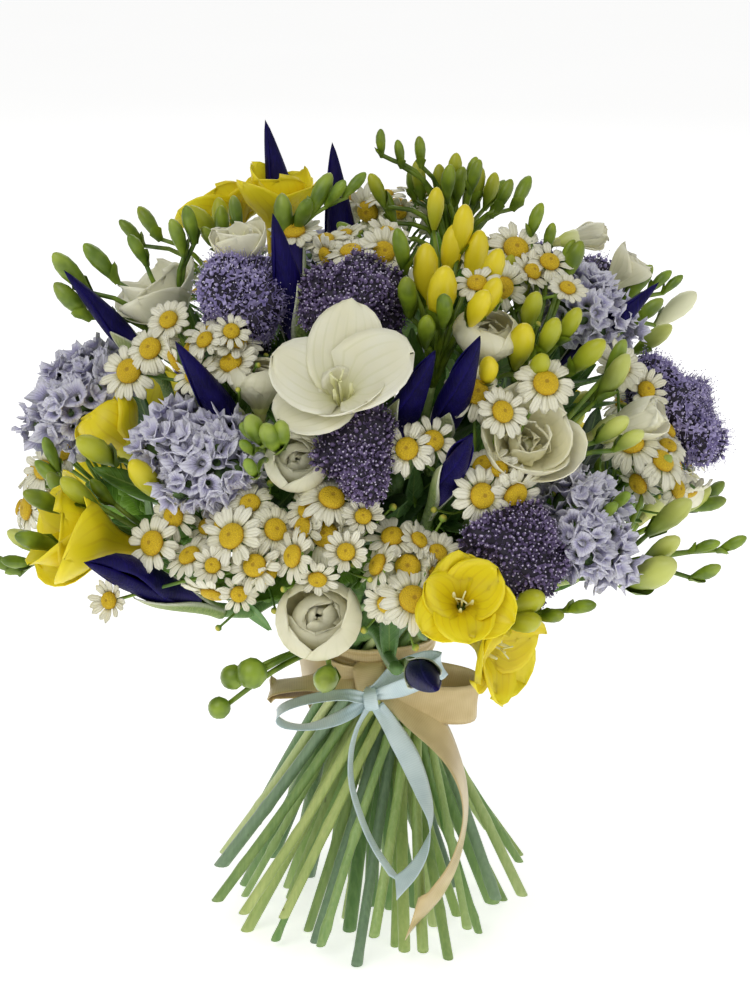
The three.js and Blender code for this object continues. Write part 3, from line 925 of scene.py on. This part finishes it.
freesia_looks = {
    "white_freesia": (
        petal_finish("white_petal", "f1efd6", "d2d27c", "efe8b8", "dcdbac"),
        bud_finish("white_bud", "eeeec6", "c3ca66", "8ba430", "42600f"),
        "white_petal", white_freesias,
    ),
    "yellow_freesia": (
        petal_finish("yellow_petal", "f6e010", "e0be08", "ecd006", "d8b206"),
        bud_finish("yellow_bud", "e2cf20", "b0b428", "88a026", "415a10"),
        "yellow_petal", yellow_freesias,
    ),
}
stamen_finish, shader, start = finish("stamen", 0.6)
wear(shader, mottle(start, 300.0).blend("d8d886", "f2f0d4"), mottle(start, 900.0), 0.1 * mm)


def bud_row(stem, greens, shoots, row):
    """A row of buds in two files on its arched stalk, the ripest of them at its start."""
    bend, count, first_ripe, start, form = row
    radius, gap, first, upright, forward = row_forms[form]
    side = stem.toward(bend)
    third = side.cross(stem.out)
    foot = stem.neck + side * 3 * mm

    def arc(distance):
        angle = distance / radius
        bent = side * radius * (1 - math.cos(angle)) + stem.out * radius * math.sin(angle)
        return foot + bent * mm, side * math.sin(angle) + stem.out * math.cos(angle)

    whole = start + first + gap * (count - 1) + 2
    stalk = [arc(whole * i / 9)[0] for i in range(10)]
    shoots.append((stalk, [(1.4 - 0.07 * i) * mm for i in range(10)]))
    for i in range(count):
        share = i / max(1, count - 1)
        place, along = arc(start + first + gap * i)
        outward = stem.out * upright - side * 0.25
        sideways = third * (0.45 if i % 2 else -0.45) * (1 - 0.4 * share)
        stand = outward * (0.95 - 0.5 * share) + along * forward + sideways
        axis = (stand + scatter(chance, 0.12)).normalized()
        ripe = min(1, max(0, first_ripe * (1 - 0.7 * share) + chance.uniform(-0.1, 0.1)))
        size = (1.06 - 0.2 * share) * chance.uniform(0.9, 1.08)
        matrix = standing(place, axis, any_turn(chance), size)
        add_copy(greens, buds[round(ripe * ripest)], matrix)


def single_bud(stem, greens, shoots, bud, turn, lean, reach, size):
    """One bud on its own thin stalk."""
    angle = math.radians(lean)
    way = stem.out * math.cos(angle) + stem.toward(turn) * math.sin(angle)
    foot = stem.neck + way * reach * mm
    axis = (way + stem.out * 0.8 + Vector((0, 0, 0.2)) + scatter(chance, 0.08)).normalized()
    add_copy(greens, bud, standing(foot, axis, any_turn(chance), size))
    bow = stem.neck + (way + stem.out * 0.4) * reach * 0.5 * mm
    line = smooth_line([stem.neck - stem.out * 4 * mm, bow, foot + axis * mm], 7 * mm)
    shoots.append((line, [(1.4 - 0.5 * i / len(line)) * mm for i in range(len(line))]))


heart_sizes = {"cup": 0.85, "globe": 0.7, "closed": 0.72, "double": 0.8}
chance = random.Random(23)
for stem in stems_of("freesia"):
    petal_look, bud_look, petal_slot, growth = freesia_looks[stem.kind]
    flowers, rows, singles = growth[int(stem.name[-2:]) - 1]
    petals, stamens, greens = new_form(), new_form(), new_form()
    shoots = []
    for turn, tilt, place, size, shape in flowers:
        matrix = stem.facing(turn, tilt, place) @ Matrix.Scale(size, 4)
        add_copy(petals, flower_forms[shape], matrix)
        if shape in heart_sizes:
            add_copy(greens, heart, matrix @ Matrix.Scale(heart_sizes[shape], 4))
        else:
            add_copy(stamens, chance.choice(stamen_bank), matrix)
        base = matrix.translation
        axis = matrix.to_3x3() @ Vector((0, 0, 1))
        fork = stem.spot(0, 0, -4)
        line = [fork, (fork + base) / 2, *(base + axis * far * mm for far in (-1, 7, 10))]
        shoots.append((line, [r * mm for r in (1.5, 1.5, 1.6, 2.1, 2.6)]))
    for row in rows:
        bud_row(stem, greens, shoots, row)
    for turn, lean, reach, ripe, size in singles:
        single_bud(stem, greens, shoots, buds[ripe], turn, lean, reach, size)
    add_copy(greens, tubes(shoots, 8))
    if flowers:
        piece(stem.name + "_petals", petals, petal_look, [stem.name], petal_slot, 0.35)
    if stamens.verts:
        piece(stem.name + "_stamens", stamens, stamen_finish, [stem.name], petal_slot)
    piece(stem.name + "_buds", greens, bud_look, [stem.name], "green_bud")

# ---------------------------------------------------------------- feverfew
# Sprays of small daisies on thin branching stalks: a domed yellow disc, a ring of broad
# notched white rays, a green cup below, round unopened buds, and lobed leaves.

disc_radius = 4.9
ray_length = 7.8
ray_width = 1.95
head_middle = 24
head_reach = 42
golden_angle = 2.39996


def head_mound(stem, shrink, lumps=0.0):
    """The rounded body of a crowded head, read from its solid, drawn in a little and
    made lumpy by so many mm."""
    centre = stem.spot(0, 0, head_middle)
    form = new_form()
    bmesh.ops.create_icosphere(form, subdivisions=4, radius=1)
    for vert in form.verts:
        way = vert.co.normalized()
        hit = stem.skin.ray_cast(centre, way)[0] or centre
        vert.co = centre + way * min((hit - centre).length, head_reach * mm) * shrink
    for _ in range(4):
        bmesh.ops.smooth_vert(
            form, verts=form.verts[:], factor=0.5, use_axis_x=True, use_axis_y=True, use_axis_z=True
        )
    for vert in form.verts:
        swell = noise.noise(vert.co * 75) * lumps * mm
        vert.co += (vert.co - centre).normalized() * swell
    return form


def strewn(form, stem, gap, lowest):
    """Places about a gap in mm apart over a mound, each with the way out of it, from the
    top of the head down to its sides."""
    skin = BVHTree.FromBMesh(form)
    centre = stem.spot(0, 0, head_middle)
    count = int(4 * math.pi * ((head_reach + 2) / gap) ** 2)
    taken = np.empty((0, 3))
    places = []
    for k in range(count):
        height = 1 - 2 * (k + 0.5) / count
        if height < lowest:
            break
        flat = math.sqrt(1 - height * height)
        around = stem.toward(math.degrees(k * golden_angle))
        hit, normal, _, _ = skin.ray_cast(centre, stem.out * height + around * flat)
        if hit is None:
            continue
        if len(taken) and np.linalg.norm(taken - np.array(hit), axis=1).min() < gap * 0.86 * mm:
            continue
        taken = np.vstack([taken, hit])
        places.append((hit, normal if normal.dot(hit - centre) > 0 else -normal))
    return places


def daisy(seed, rays, droop, scale):
    """The rays, the disc and the cup of one daisy, as three meshes on +Z."""
    chance = random.Random(seed)
    ray_form = new_form()
    for i in range(rays):
        turn = (i + chance.uniform(-0.22, 0.22)) * 2 * math.pi / rays
        length = ray_length * scale * chance.uniform(0.86, 1.06)
        width = ray_width * scale * chance.uniform(0.88, 1.12)
        fall = droop + chance.uniform(-0.14, 0.14)
        roll = chance.uniform(-0.25, 0.25)
        lift = 0.35 * (i % 2)

        def place(u, v):
            v = 1 - (1 - v) ** 1.4
            lobes = math.cos(2 * math.pi * u)
            rounding = max(0.0, 1 - max(0.0, (v - 0.72) / 0.28) ** 2.2) ** 0.5
            half = width * (0.42 + 0.58 * smooth(v, 0, 0.55)) * (0.24 + 0.76 * rounding)
            out = disc_radius * scale * 0.8 + length * v + 0.25 * lobes * v ** 6
            rise = 0.6 + lift + 2.0 * v * (1 - v) - fall * length * v * v
            rise += 0.1 * lobes + roll * u * width * v
            x = out * math.cos(turn) - half * u * math.sin(turn)
            y = out * math.sin(turn) + half * u * math.cos(turn)
            return Vector((x, y, rise)) * mm

        sheet_form(ray_form, 4, 3, place, chance.random())
    r = disc_radius * scale
    side = [(0.8, 0.2), (1, 1.1), (0.95, 2.2), (0.76, 3.1), (0.46, 3.6), (0.15, 3.5)]
    dome = [(0, 0), *((share * r, height) for share, height in side), (0, 3.3)]
    cup = [(0, -2.6), (0.9, -2.4), (0.66 * r, -1.5), (0.96 * r, 0.0), (0.9 * r, 0.9), (0, 0.5)]
    return as_mesh(ray_form), turned_mesh(dome, 16), turned_mesh(cup, 10)


daisies = [
    daisy(1, 14, 0.02, 1.0),
    daisy(2, 13, 0.18, 1.06),
    daisy(3, 15, -0.1, 0.9),
    daisy(4, 12, 0.1, 0.96),
    daisy(5, 13, -0.5, 0.74),
    daisy(6, 14, 0.4, 1.0),
    daisy(7, 11, 0.05, 0.88),
]
button = turned_mesh([(0, 0), (1.4, 0.4), (2.7, 2.0), (2.6, 3.6), (1.6, 4.7), (0, 5.0)], 10, 1)

ray_finish, shader, start = finish("feverfew_ray", 0.5, glow(0.12, (0.003, 0.003, 0.002), 0.5))
across, along, tone = petal_wires(start)
furrow = start.math("SINE", across * 9.0).between(0.2, 1.0)
ray_white = (0.3 * furrow + 0.5 * tone).blend("f1eed6", "e0dcbc")
wear(shader, along.between(0.0, 0.3).blend("c8c884", ray_white), furrow, 0.15 * mm)

disc_finish, shader, start = finish("feverfew_disc", 0.7)
place = start.node("ShaderNodeTexCoord", out="Object")
cells = start.node("ShaderNodeTexVoronoi", (), {"Vector": place, "Scale": 1900.0})
across, along, _ = petal_wires(start)
# painted shade between the tiny florets: each cell darker towards its edges
golden = (0.6 * cells.between(0.2, 0.7)).blend("debd10", "bc9508")
# painted shade low on the dome: its sides darker down towards the rays
domed = along.between(0.3, 0.8).blend("c4960a", golden)
dimple = across.between(0.08, 0.26) + (1 - along.between(0.5, 0.8))
wear(shader, dimple.between(0.0, 1.0).blend("ad890c", domed), 1 - cells, 0.3 * mm)

green_finish, shader, start = finish("feverfew_green", 0.5)
_, along, tone = petal_wires(start)
tint = mottle(start, 55.0, 3.0).between(0.32, 0.68)
fresh = tint.blend("4a7224", "8fae3c")
tipped = (tone * along.between(0.6, 1.0)).blend(fresh, "c4bd48")
wear(shader, tipped, mottle(start, 420.0, 3.0), 0.25 * mm)

# Daisies on longer side branches of some heads, each at (right, up, out) in mm from the
# head's foot.
side_daisies = {
    "feverfew_stem_01": [(-35, -3, 32), (-29, 9, 32), (-17, 8, 26), (-51, -26, 24)],
    "feverfew_stem_04": [(-25, 5, 32)],
    "feverfew_stem_05": [(-26, 9, 34), (9, 8, 36), (-36, -13, 24), (-28, -4, 30)],
    "feverfew_stem_06": [(3, 0, 38), (8, -14, 38), (0, -30, 36), (-42, -14, 38)],
    "feverfew_stem_07": [(-34, 16, 34), (-24, 17, 36), (-2, 34, 40), (4, 22, 44), (24, 30, 48)],
    "feverfew_stem_08": [(-5, 40, 42), (6, 26, 40)],
    "feverfew_stem_13": [(-25, 30, 30), (-42, 36, 32), (-32, 52, 30), (-8, 44, 32), (-48, 58, 28)],
}
bud_count = 8
chance = random.Random(31)
for stem in stems_of("feverfew"):
    rays, discs, greens = new_form(), new_form(), new_form()
    mound = head_mound(stem, 0.94)
    shoots = []
    placed = [(p - w * chance.uniform(0, 9) * mm, w) for p, w in strewn(mound, stem, 15.5, -0.1)]
    mound.free()
    for spot in side_daisies.get(stem.name, []):
        place = stem.spot(*spot)
        placed.append((place, (place - tie).normalized() - Vector((0, 0.5, 0))))
    for place, way in placed:
        forward = Vector((0, -0.15, 0.12))
        axis = (way + stem.out * 0.3 + scatter(chance, 0.42) + forward).normalized()
        if place.y < -40 * mm:
            axis.y = -abs(axis.y)
        matrix = standing(place, axis, any_turn(chance), chance.uniform(0.78, 1.1))
        ray_mesh, disc_mesh, cup_mesh = chance.choice(daisies)
        add_copy(rays, ray_mesh, matrix)
        add_copy(discs, disc_mesh, matrix)
        add_copy(greens, cup_mesh, matrix)
        fork = stem.spot(0, 0, chance.uniform(-4, 8))
        bow = (fork + place) / 2 + stem.out * 3 * mm
        line = smooth_line([fork, bow, place - axis * 2 * mm], 12 * mm)
        shoots.append(even(line, 0.7))
    for i in range(bud_count):
        away = stem.toward(360 * i / bud_count + chance.uniform(-18, 18))
        tip = stem.spot(0, 0, chance.uniform(8, 28)) + away * chance.uniform(19, 29) * mm
        fork = stem.spot(0, 0, chance.uniform(0, 10))
        line = smooth_line([fork, (fork + tip) / 2 - stem.out * 4 * mm, tip], 9 * mm)
        shoots.append(even(line, 0.5))
        axis = (stem.out * 0.6 + away * 0.6 + scatter(chance, 0.3)).normalized()
        add_copy(greens, button, standing(tip, axis, 0, chance.uniform(0.35, 0.65)))
    add_copy(greens, tubes(shoots, 6))
    piece(stem.name + "_rays", rays, ray_finish, [stem.name], "feverfew_ray", 0.3)
    piece(stem.name + "_discs", discs, disc_finish, [stem.name], "feverfew_disc")
    piece(stem.name + "_greens", greens, green_finish, [stem.name], "green_leaf")

# ---------------------------------------------------------------- throatwort
# A throatwort head is a dense mound of several hundred tiny purple flowers, each a five
# pointed star with one long pin and its pale knob, over a near-black mound that stands for
# the unopened buds deep inside and is painted the colour of the shade among them.


def pin(form, height, knob):
    """The thin pin of a floret, with the pale knob on its end."""
    mark = form.verts.layers.float_vector["petal"]
    for low, high, first, last, sides, share in (
        (0, height, 0.28, 0, 3, 0.5),
        (height - knob, height, 0, knob, 4, 1),
        (height, height + knob, knob, 0, 4, 1),
    ):
        made = bmesh.ops.create_cone(
            form, segments=sides, radius1=first, radius2=last, depth=high - low,
            matrix=Matrix.Translation((0, 0, (low + high) / 2)),
        )["verts"]
        for vert in made:
            vert[mark] = (0, share, 0)


def star_floret(seed, spread, height, knob):
    """An open floret on +Z: a shallow star of five petals and its pin."""
    chance = random.Random(seed)
    form = new_form()
    mark = form.verts.layers.float_vector["petal"]
    star = bmesh.ops.create_circle(form, cap_ends=True, cap_tris=True, segments=10, radius=1)["verts"]
    for vert in star:
        angle = math.atan2(vert.co.y, vert.co.x)
        far = vert.co.length > 0.5
        point = far and round(angle / (math.pi / 5)) % 2 == 0
        radius = (spread if point else spread * 0.42) if far else 0
        rise = (0.5 if point else 0.1) if far else -0.5
        vert.co = polar(radius, angle, rise) + scatter(chance, 0.1)
        vert[mark] = (0, (0.5 if point else 0.38) if far else 0.12, chance.random())
    pin(form, height, knob)
    bmesh.ops.transform(form, matrix=Matrix.Scale(mm, 4), verts=form.verts[:])
    return closed_mesh(form)


def bud_floret(seed, height, knob):
    """A floret still in bud on +Z: a dark bead with its pin just out."""
    chance = random.Random(seed)
    form = new_form()
    mark = form.verts.layers.float_vector["petal"]
    stretched = Matrix.Translation((0, 0, 0.6)) @ Matrix.Diagonal((0.85, 0.85, 1.3, 1))
    for vert in bmesh.ops.create_icosphere(form, subdivisions=1, radius=1, matrix=stretched)["verts"]:
        vert[mark] = (0, 0.2 + 0.3 * vert.co.z / 1.9, chance.random())
    pin(form, height, knob)
    bmesh.ops.transform(form, matrix=Matrix.Scale(mm, 4), verts=form.verts[:])
    return closed_mesh(form)


def throatwort_finish(name, dark, petal, knob_colour):
    """Tiny petals from dark purple to violet, with pale knobs: the mark says which is which.
    The middles of the florets and the mound beneath them take near-black painted shade.
    """
    material, shader, start = finish(name, 0.6)
    _, along, tone = petal_wires(start)
    cloud = mottle(start, 90.0).between(0.35, 0.65)
    body = (0.5 * cloud + 0.5 * tone).blend(dark, petal)
    # painted shade: floret middles, the lower parts of the buds and the mound beneath go near-black
    inner = along.between(0.0, 0.35).blend("1a1026", body)
    wear(shader, along.between(0.6, 0.95).blend(inner, knob_colour))
    return material


throatwort_looks = {
    "dark": throatwort_finish("throatwort_dark", "34264a", "806e9a", "cac0da"),
    "light": throatwort_finish("throatwort_light", "7468a0", "beb4dc", "e2dcf0"),
}
# Heads still mostly in bud are dark; open ones are lighter, with longer pins.
dark_heads = ("throatwort_stem_02", "throatwort_stem_03", "throatwort_stem_04")
closed = [bud_floret(s, 1.8 + 0.25 * s, 0.4) for s in range(3)]
closed += [star_floret(10 + s, 1.3 + 0.15 * s, 2.0 + 0.3 * s, 0.38) for s in range(4)]
opened = [star_floret(20 + s, 1.5 + 0.2 * s, 2.6 + 0.6 * s, 0.32) for s in range(5)]
opened.append(bud_floret(30, 2.4, 0.34))
chance = random.Random(41)
for stem in stems_of("throatwort"):
    still_dark = stem.name in dark_heads
    # The mound stays in the head's piece, painted near-black as the shade among the florets.
    head = head_mound(stem, 0.95, 9.0)
    floret_gap = 2.9 if stem.out.y > 0.1 else 2.1
    for place, way in strewn(head, stem, floret_gap, -0.5):
        lowered = place + way * chance.uniform(-0.9, 1.4) * mm
        axis = (way + scatter(chance, 0.35)).normalized()
        floret = chance.choice(closed if still_dark else opened)
        matrix = standing(lowered, axis, any_turn(chance), chance.uniform(0.85, 1.15))
        add_copy(head, floret, matrix)
    look = throatwort_looks["dark" if still_dark else "light"]
    piece(stem.name + "_florets", head, look, [stem.name], "throatwort_floret")

# ---------------------------------------------------------------- statice
# Papery lavender cups with ruffled pale rims, packed at all angles over lumpy mounds of
# green scales.


def paper_cup(seed, radius, height):
    """One papery cup on +Z: a funnel whose wide rim is folded unevenly."""
    chance = random.Random(seed)
    phase = any_turn(chance)

    def place(u, v):
        angle = math.pi * u
        flare = 0.24 + 0.76 * v
        folds = math.sin(4 * angle + phase) + 0.7 * math.sin(7 * angle + 2 * phase)
        lean = math.sin(angle + 3 * phase)
        far = radius * flare * (1 + (0.1 * folds + 0.1 * lean) * v)
        rise = height * v + radius * (0.28 * folds + 0.28 * lean) * v ** 2.5 - 1.6 * v ** 6
        return polar(far, angle, rise) * mm

    form = new_form()
    sheet_form(form, 16, 2, place, chance.random())
    return as_mesh(form)


papery_glow = glow(0.15, (0.002, 0.002, 0.003), 0.5)
statice_finish, shader, start = finish("statice_calyx", 0.65, papery_glow)
across, along, tone = petal_wires(start)
cloud = mottle(start, 120.0).between(0.3, 0.7)
pleats = start.math("SINE", across * 63.0).between(0.2, 1.0)
lavender = (0.4 * cloud + 0.4 * tone + 0.2 * pleats).blend("aba7ce", "cfcbe4")
rim = along.between(0.3, 1.0).blend(lavender, "e0dfec")
wear(shader, along.between(0.0, 0.3).blend("b2b4ac", rim), pleats, 0.25 * mm)

scale_finish, shader, start = finish("statice_scale", 0.6)
scaly = mottle(start, 260.0, 3.0).between(0.35, 0.65)
wear(shader, scaly.blend("263d1b", "5c7a37"), scaly, 0.6 * mm)

cups = [paper_cup(s, 4.3 + 0.5 * (s % 3), 5.0) for s in range(7)]
chance = random.Random(53)
for stem in stems_of("statice"):
    head, under = new_form(), head_mound(stem, 0.8, 12.0)
    cup_gap = 5.6 if stem.out.y > 0.1 else 4.2
    for place, way in strewn(under, stem, cup_gap, -0.45):
        if chance.random() < 0.1:
            continue
        raised = place + way * chance.uniform(-2.0, 4.5) * mm
        axis = (way + stem.out * 0.2 + scatter(chance, 0.5)).normalized()
        matrix = standing(raised, axis, any_turn(chance), chance.uniform(0.8, 1.2))
        add_copy(head, chance.choice(cups), matrix)
    piece(stem.name + "_calyces", head, statice_finish, [stem.name], "statice_calyx", 0.2)
    piece(stem.name + "_scales", under, scale_finish, [stem.name], "green_leaf")

# ---------------------------------------------------------------- twine
# Two-ply jute twine, wound tight round the crossing of the stalks and tucked in. The
# ribbons hide it.

ring_spacing = 5.2
outer_ring = 4
spiral_rise = 31
stem_allowance = 3.16


def bundle_radius(height):
    """The radius of the bundle of stalks in mm, at a height above its waist."""
    return ring_spacing * outer_ring * math.hypot(1, height / spiral_rise) + stem_allowance


twine_turns = 7
twine_foot, twine_top = 10.3, 17.7
twine_lift = 0.85
ply_radius = 0.42
ply_twist = 4.5
points_per_mm = 0.7
turn_length = 2 * math.pi * bundle_radius((twine_foot + twine_top) / 2)
steps = int(twine_turns * turn_length * points_per_mm)
plies = []
for phase in (0, math.pi):
    line = []
    for i in range(steps + 1):
        share = i / steps
        height = twine_foot + (twine_top - twine_foot) * share
        angle = share * twine_turns * 2 * math.pi + 1.3
        twist = i / points_per_mm * 2 * math.pi / ply_twist + phase
        radius = bundle_radius(height) + twine_lift + 0.8 * ply_radius * math.cos(twist)
        height += 0.8 * ply_radius * math.sin(twist)
        line.append(tie + polar(radius, angle, height) * mm)
    plies.append(even(line, ply_radius))
twine = new_form()
add_copy(twine, tubes(plies, 6))
twine_finish, shader, start = finish("jute_twine", 0.9)
fibre = mottle(start, 1200.0, 3.0).between(0.3, 0.7)
wear(shader, fibre.blend("8a6f42", "bda374"), fibre, 0.2 * mm)
piece("binding_twine_plies", twine, twine_finish, ["binding_twine"], "jute_twine")

# ---------------------------------------------------------------- ribbons
# Two woven satin ribbons. The wide beige one is gathered over the twine, the narrow pale
# blue one below it, and each is tied in front in a bow with two loops and two loose ends.


def along_stations(stations, gap):
    """The middle line of a ribbon, and the way across it at each point: a station is a
    place in mm on the bouquet and a way across the ribbon there."""
    places = [tie + Vector((x, y, z - tie_height)) * mm for x, y, z, _ in stations]
    across = [Vector(way).normalized() for _, _, _, way in stations]
    counts = [round((b - a).length / gap) + 2 for a, b in zip(places, places[1:])]
    return curve_through(places, counts), curve_through(across, counts)


def measured(form, made, total, tone):
    """Marks how far along the ribbon each new point lies, in 100 mm."""
    mark = form.verts.layers.float_vector["petal"]
    for vert in made:
        vert[mark] = (vert[mark].x, vert[mark].y * total / 100, tone)
    return total


def satin_strip(form, stations, width, tone, slant, gather):
    """A run of ribbon through its stations, its end cut on the slant, and drawn narrower
    towards its start or end."""
    line, ways = along_stations(stations, 2.2 * mm)
    steps = len(line) - 1
    total = sum((b - a).length for a, b in zip(line, line[1:])) / mm

    def place(u, v):
        at = min(round(v * steps), steps)
        along = (line[min(at + 1, steps)] - line[max(at - 1, 0)]).normalized()
        way = (ways[at] - along * ways[at].dot(along)).normalized()
        face = way.cross(along)
        narrowed = 1 - (1 - gather[0]) * (1 - smooth(v, 0.0, 0.22))
        narrowed -= (1 - gather[1]) * smooth(v, 0.78, 1.0)
        pleats = 0.9 * (1 - narrowed) * math.cos(7 * u)
        cup = 0.35 * u * u + 0.15 * math.sin(9 * v + tone * 5)
        shifted = slant * width * 0.5 * u * smooth(v, 0.85, 1.0)
        sideways = way * (u * width / 2 * narrowed)
        return line[at] + (sideways + face * (cup + pleats) + along * shifted) * mm

    return measured(form, sheet_form(form, 8, steps, place, tone), total, tone)


def gathered_band(form, low, high, lift, turns, pleats, tone):
    """The ribbon wound round the bundle, its width drawn up into soft lengthwise pleats."""
    steps = int(turns * 60)

    def place(u, v):
        angle = turns * 2 * math.pi * v - math.pi / 2
        middle = (low + high) / 2 + 0.8 * math.sin(2 * angle) + 0.7 * math.sin(5 * angle + 1)
        height = middle + u * (high - low) / 2
        crease = math.sin(pleats * u + 0.8 * math.sin(3 * angle) + 0.5 * math.sin(7 * angle))
        radius = bundle_radius(height) + lift + 0.55 * crease + 1.1 * v
        return tie + polar(radius, angle, height) * mm

    total = turns * 2 * math.pi * bundle_radius((low + high) / 2)
    return measured(form, sheet_form(form, 18, steps, place, tone), total, tone)


def tied(form, runs):
    """Lays the runs of one ribbon, and gives their length in mm."""
    return sum(satin_strip(form, *run) for run in runs)


def satin_finish(name, light, dark, selvedge):
    """Satin: fine ribs across, a soft cloudy sheen, and a firm woven edge."""
    sockets = {"Sheen Weight": 0.2, "Sheen Roughness": 0.4, "Specular IOR Level": 0.6}
    material, shader, start = finish(name, 0.36, sockets)
    across, along, _ = petal_wires(start)
    rib = start.math("SINE", along * 700.0).between(-1.0, 1.0)
    cloudy = mottle(start, 60.0).between(0.3, 0.7)
    cloth = (0.8 * cloudy + 0.2 * rib).blend(dark, light)
    edge = abs(across).between(0.88, 0.95)
    wear(shader, (0.6 * edge).blend(cloth, selvedge), rib, 0.04 * mm)
    return material


# A run: its stations, its width, its tone, the slant of its cut and how far it is drawn in
# at its two ends.
up = (0, 0, 1)
beige_width, beige_knot = 19, 14
beige = new_form()
beige_runs = [
    # the right loop: out in front, round, and back behind
    ([(2, -31, 125, up), (13, -36, 120, (0, -0.2, 1)), (28, -38, 116.5, (0, -0.2, 1)),
      (42, -35, 115, (0.05, -0.1, 1)), (47, -30, 116, (0.1, 0, 1)), (42, -26, 119, (0.1, 0.1, 1)),
      (28, -25, 122, (0, 0.1, 1)), (13, -26, 124, up), (2, -29, 126, up)],
     beige_width, 0.3, 0, (0.35, 0.35)),
    # the left loop lies back, so that it is seen mostly from its edge
    ([(-2, -31, 126, up), (-14, -32, 123, (0, 0.95, 0.2)), (-29, -31, 120, (0, 0.98, -0.05)),
      (-40, -31, 119.5, (0, 0.98, -0.05)), (-44, -31.5, 121, (0, 0.98, 0)),
      (-40, -32, 123, (0, 0.98, -0.05)), (-26, -31.5, 124.5, (0, 0.98, 0)),
      (-12, -31, 126, (0, 0.8, 0.5)), (-2, -31, 128, up)],
     beige_width, 0.6, 0, (0.35, 0.35)),
    # the knot, a short run over the crossing
    ([(-3, -27, 133, (1, 0, 0)), (-1, -33, 132, (1, 0, 0.1)), (0, -35.5, 127, (1, 0, 0.1)),
      (1, -34, 121, (1, 0, 0)), (2, -29, 119, (1, 0, 0))],
     beige_knot, 0.8, 0, (0.5, 0.5)),
    # the right end: turned on its edge, down to a slanted cut
    ([(4, -34, 122, (0.5, 0.6, 0.6)), (14, -37, 116, (0.5, 0.7, 0.4)),
      (27, -41, 107, (0.5, 0.75, 0.15)), (36, -44, 94, (0.34, 0.88, -0.15)),
      (41, -47, 80, (0.2, 0.92, -0.28)), (41.5, -52, 66, (0.16, 0.94, -0.3)),
      (37, -60, 51, (0.28, 0.9, -0.3)), (29, -67, 40, (0.5, 0.8, -0.2)),
      (18, -72, 30, (0.7, 0.65, -0.1))],
     beige_width, 0.2, 0.9, (0.4, 1.0)),
    # the other end, round the left side and down behind
    ([(-4, -32, 128, up), (-14, -31, 128, up), (-25, -22, 126, (-0.1, 0, 1)),
      (-31, -5, 121, (-0.2, 0.2, 1)), (-29, 15, 111, (0.2, 0.5, 0.7)),
      (-22, 34, 92, (0.7, 0.5, 0.4)), (-16, 48, 66, (0.8, 0.3, 0.3)),
      (-13, 62, 40, (0.9, 0.2, 0.2))],
     beige_width, 0.9, 0.6, (0.4, 1.0)),
]
beige_length = gathered_band(beige, 9.0, 20.5, 2.2, 1.5, 9, 0.1) + tied(beige, beige_runs)
beige_finish = satin_finish("beige_satin", "e2cd98", "c4ab72", "d3bb84")
made = piece("beige_satin_ribbon", beige, beige_finish, ["beige_ribbon"], "beige_satin", 0.3)

blue_width, blue_knot = 10, 6
blue = new_form()
blue_runs = [
    # the left loop hangs open like an eye, its two sides seen mostly from the edge
    ([(-1, -42, 121, up), (-12, -46, 124, (0, 0.95, 0.2)), (-25, -47, 123, (0, 0.98, 0.05)),
      (-36, -47, 119.5, (-0.1, 0.98, 0)), (-40.5, -46.5, 115, (0, 0.98, 0)),
      (-37, -46, 111, (0.1, 0.98, -0.1)), (-27, -45, 109.5, (0, 0.98, -0.1)),
      (-14, -44, 113, (0, 0.9, 0.3)), (-2, -42, 119, (0.2, 0, 0.9))],
     blue_width, 0.3, 0, (0.5, 0.5)),
    # the right loop lies up over the beige one
    ([(1, -41, 122, up), (9, -44, 125, (0, -0.3, 0.9)), (19, -45, 129.5, (-0.2, -0.3, 0.9)),
      (28, -43, 134, (-0.4, 0, 0.9)), (31, -39, 136, (-0.4, 0.3, 0.8)),
      (24, -37, 136, (-0.3, 0.3, 0.9)), (12, -37, 131, (-0.2, 0.2, 0.9)), (1, -40, 124, up)],
     blue_width, 0.5, 0, (0.5, 0.5)),
    # the knot, drawn tight down the front
    ([(-1, -38, 125, (0.9, 0, 0.3)), (-0.5, -43.5, 124.5, (0.9, 0, 0.3)),
      (0.2, -45.5, 120.5, (0.9, 0, 0.2)), (1, -44, 116.5, (0.9, 0, 0.2)),
      (1.5, -39, 115.5, (0.9, 0, 0))],
     blue_knot, 0.7, 0, (0.6, 0.6)),
    # the left end, on its edge as it falls
    ([(0, -43, 118, (0.6, 0.6, 0.3)), (-5, -45, 109, (0.32, 0.9, 0)),
      (-8, -48, 98, (0.22, 0.92, -0.2)), (-8, -53, 86, (0.2, 0.94, -0.26)),
      (-4, -60, 74, (0.2, 0.94, -0.28)), (2, -67, 63, (0.2, 0.94, -0.28)),
      (12, -75, 50, (0.3, 0.85, -0.3))],
     blue_width, 0.1, 0.8, (0.5, 1.0)),
    # the right end: broad, then folded back under itself
    ([(3, -43, 118, (0.8, 0, 0.4)), (9, -46, 110, (0.75, 0.6, 0.2)),
      (17, -51, 97, (0.8, 0.5, 0.2)), (23, -58, 84, (0.6, 0.78, 0)),
      (26, -65, 73, (0.2, 0.94, -0.3)), (23.5, -71, 63, (-0.3, 0.9, -0.3)),
      (18, -76, 55, (-0.5, 0.82, -0.1)), (11, -81, 49.5, (-0.6, 0.7, 0.1))],
     blue_width, 0.9, -0.8, (0.6, 1.0)),
]
blue_length = gathered_band(blue, -1.0, 5.4, 0.7, 1.5, 5, 0.2) + tied(blue, blue_runs)
blue_finish = satin_finish("blue_satin", "e2f2f4", "c0d5da", "d0e2e6")
made = piece("blue_satin_ribbon", blue, blue_finish, ["blue_ribbon"], "blue_satin", 0.3)
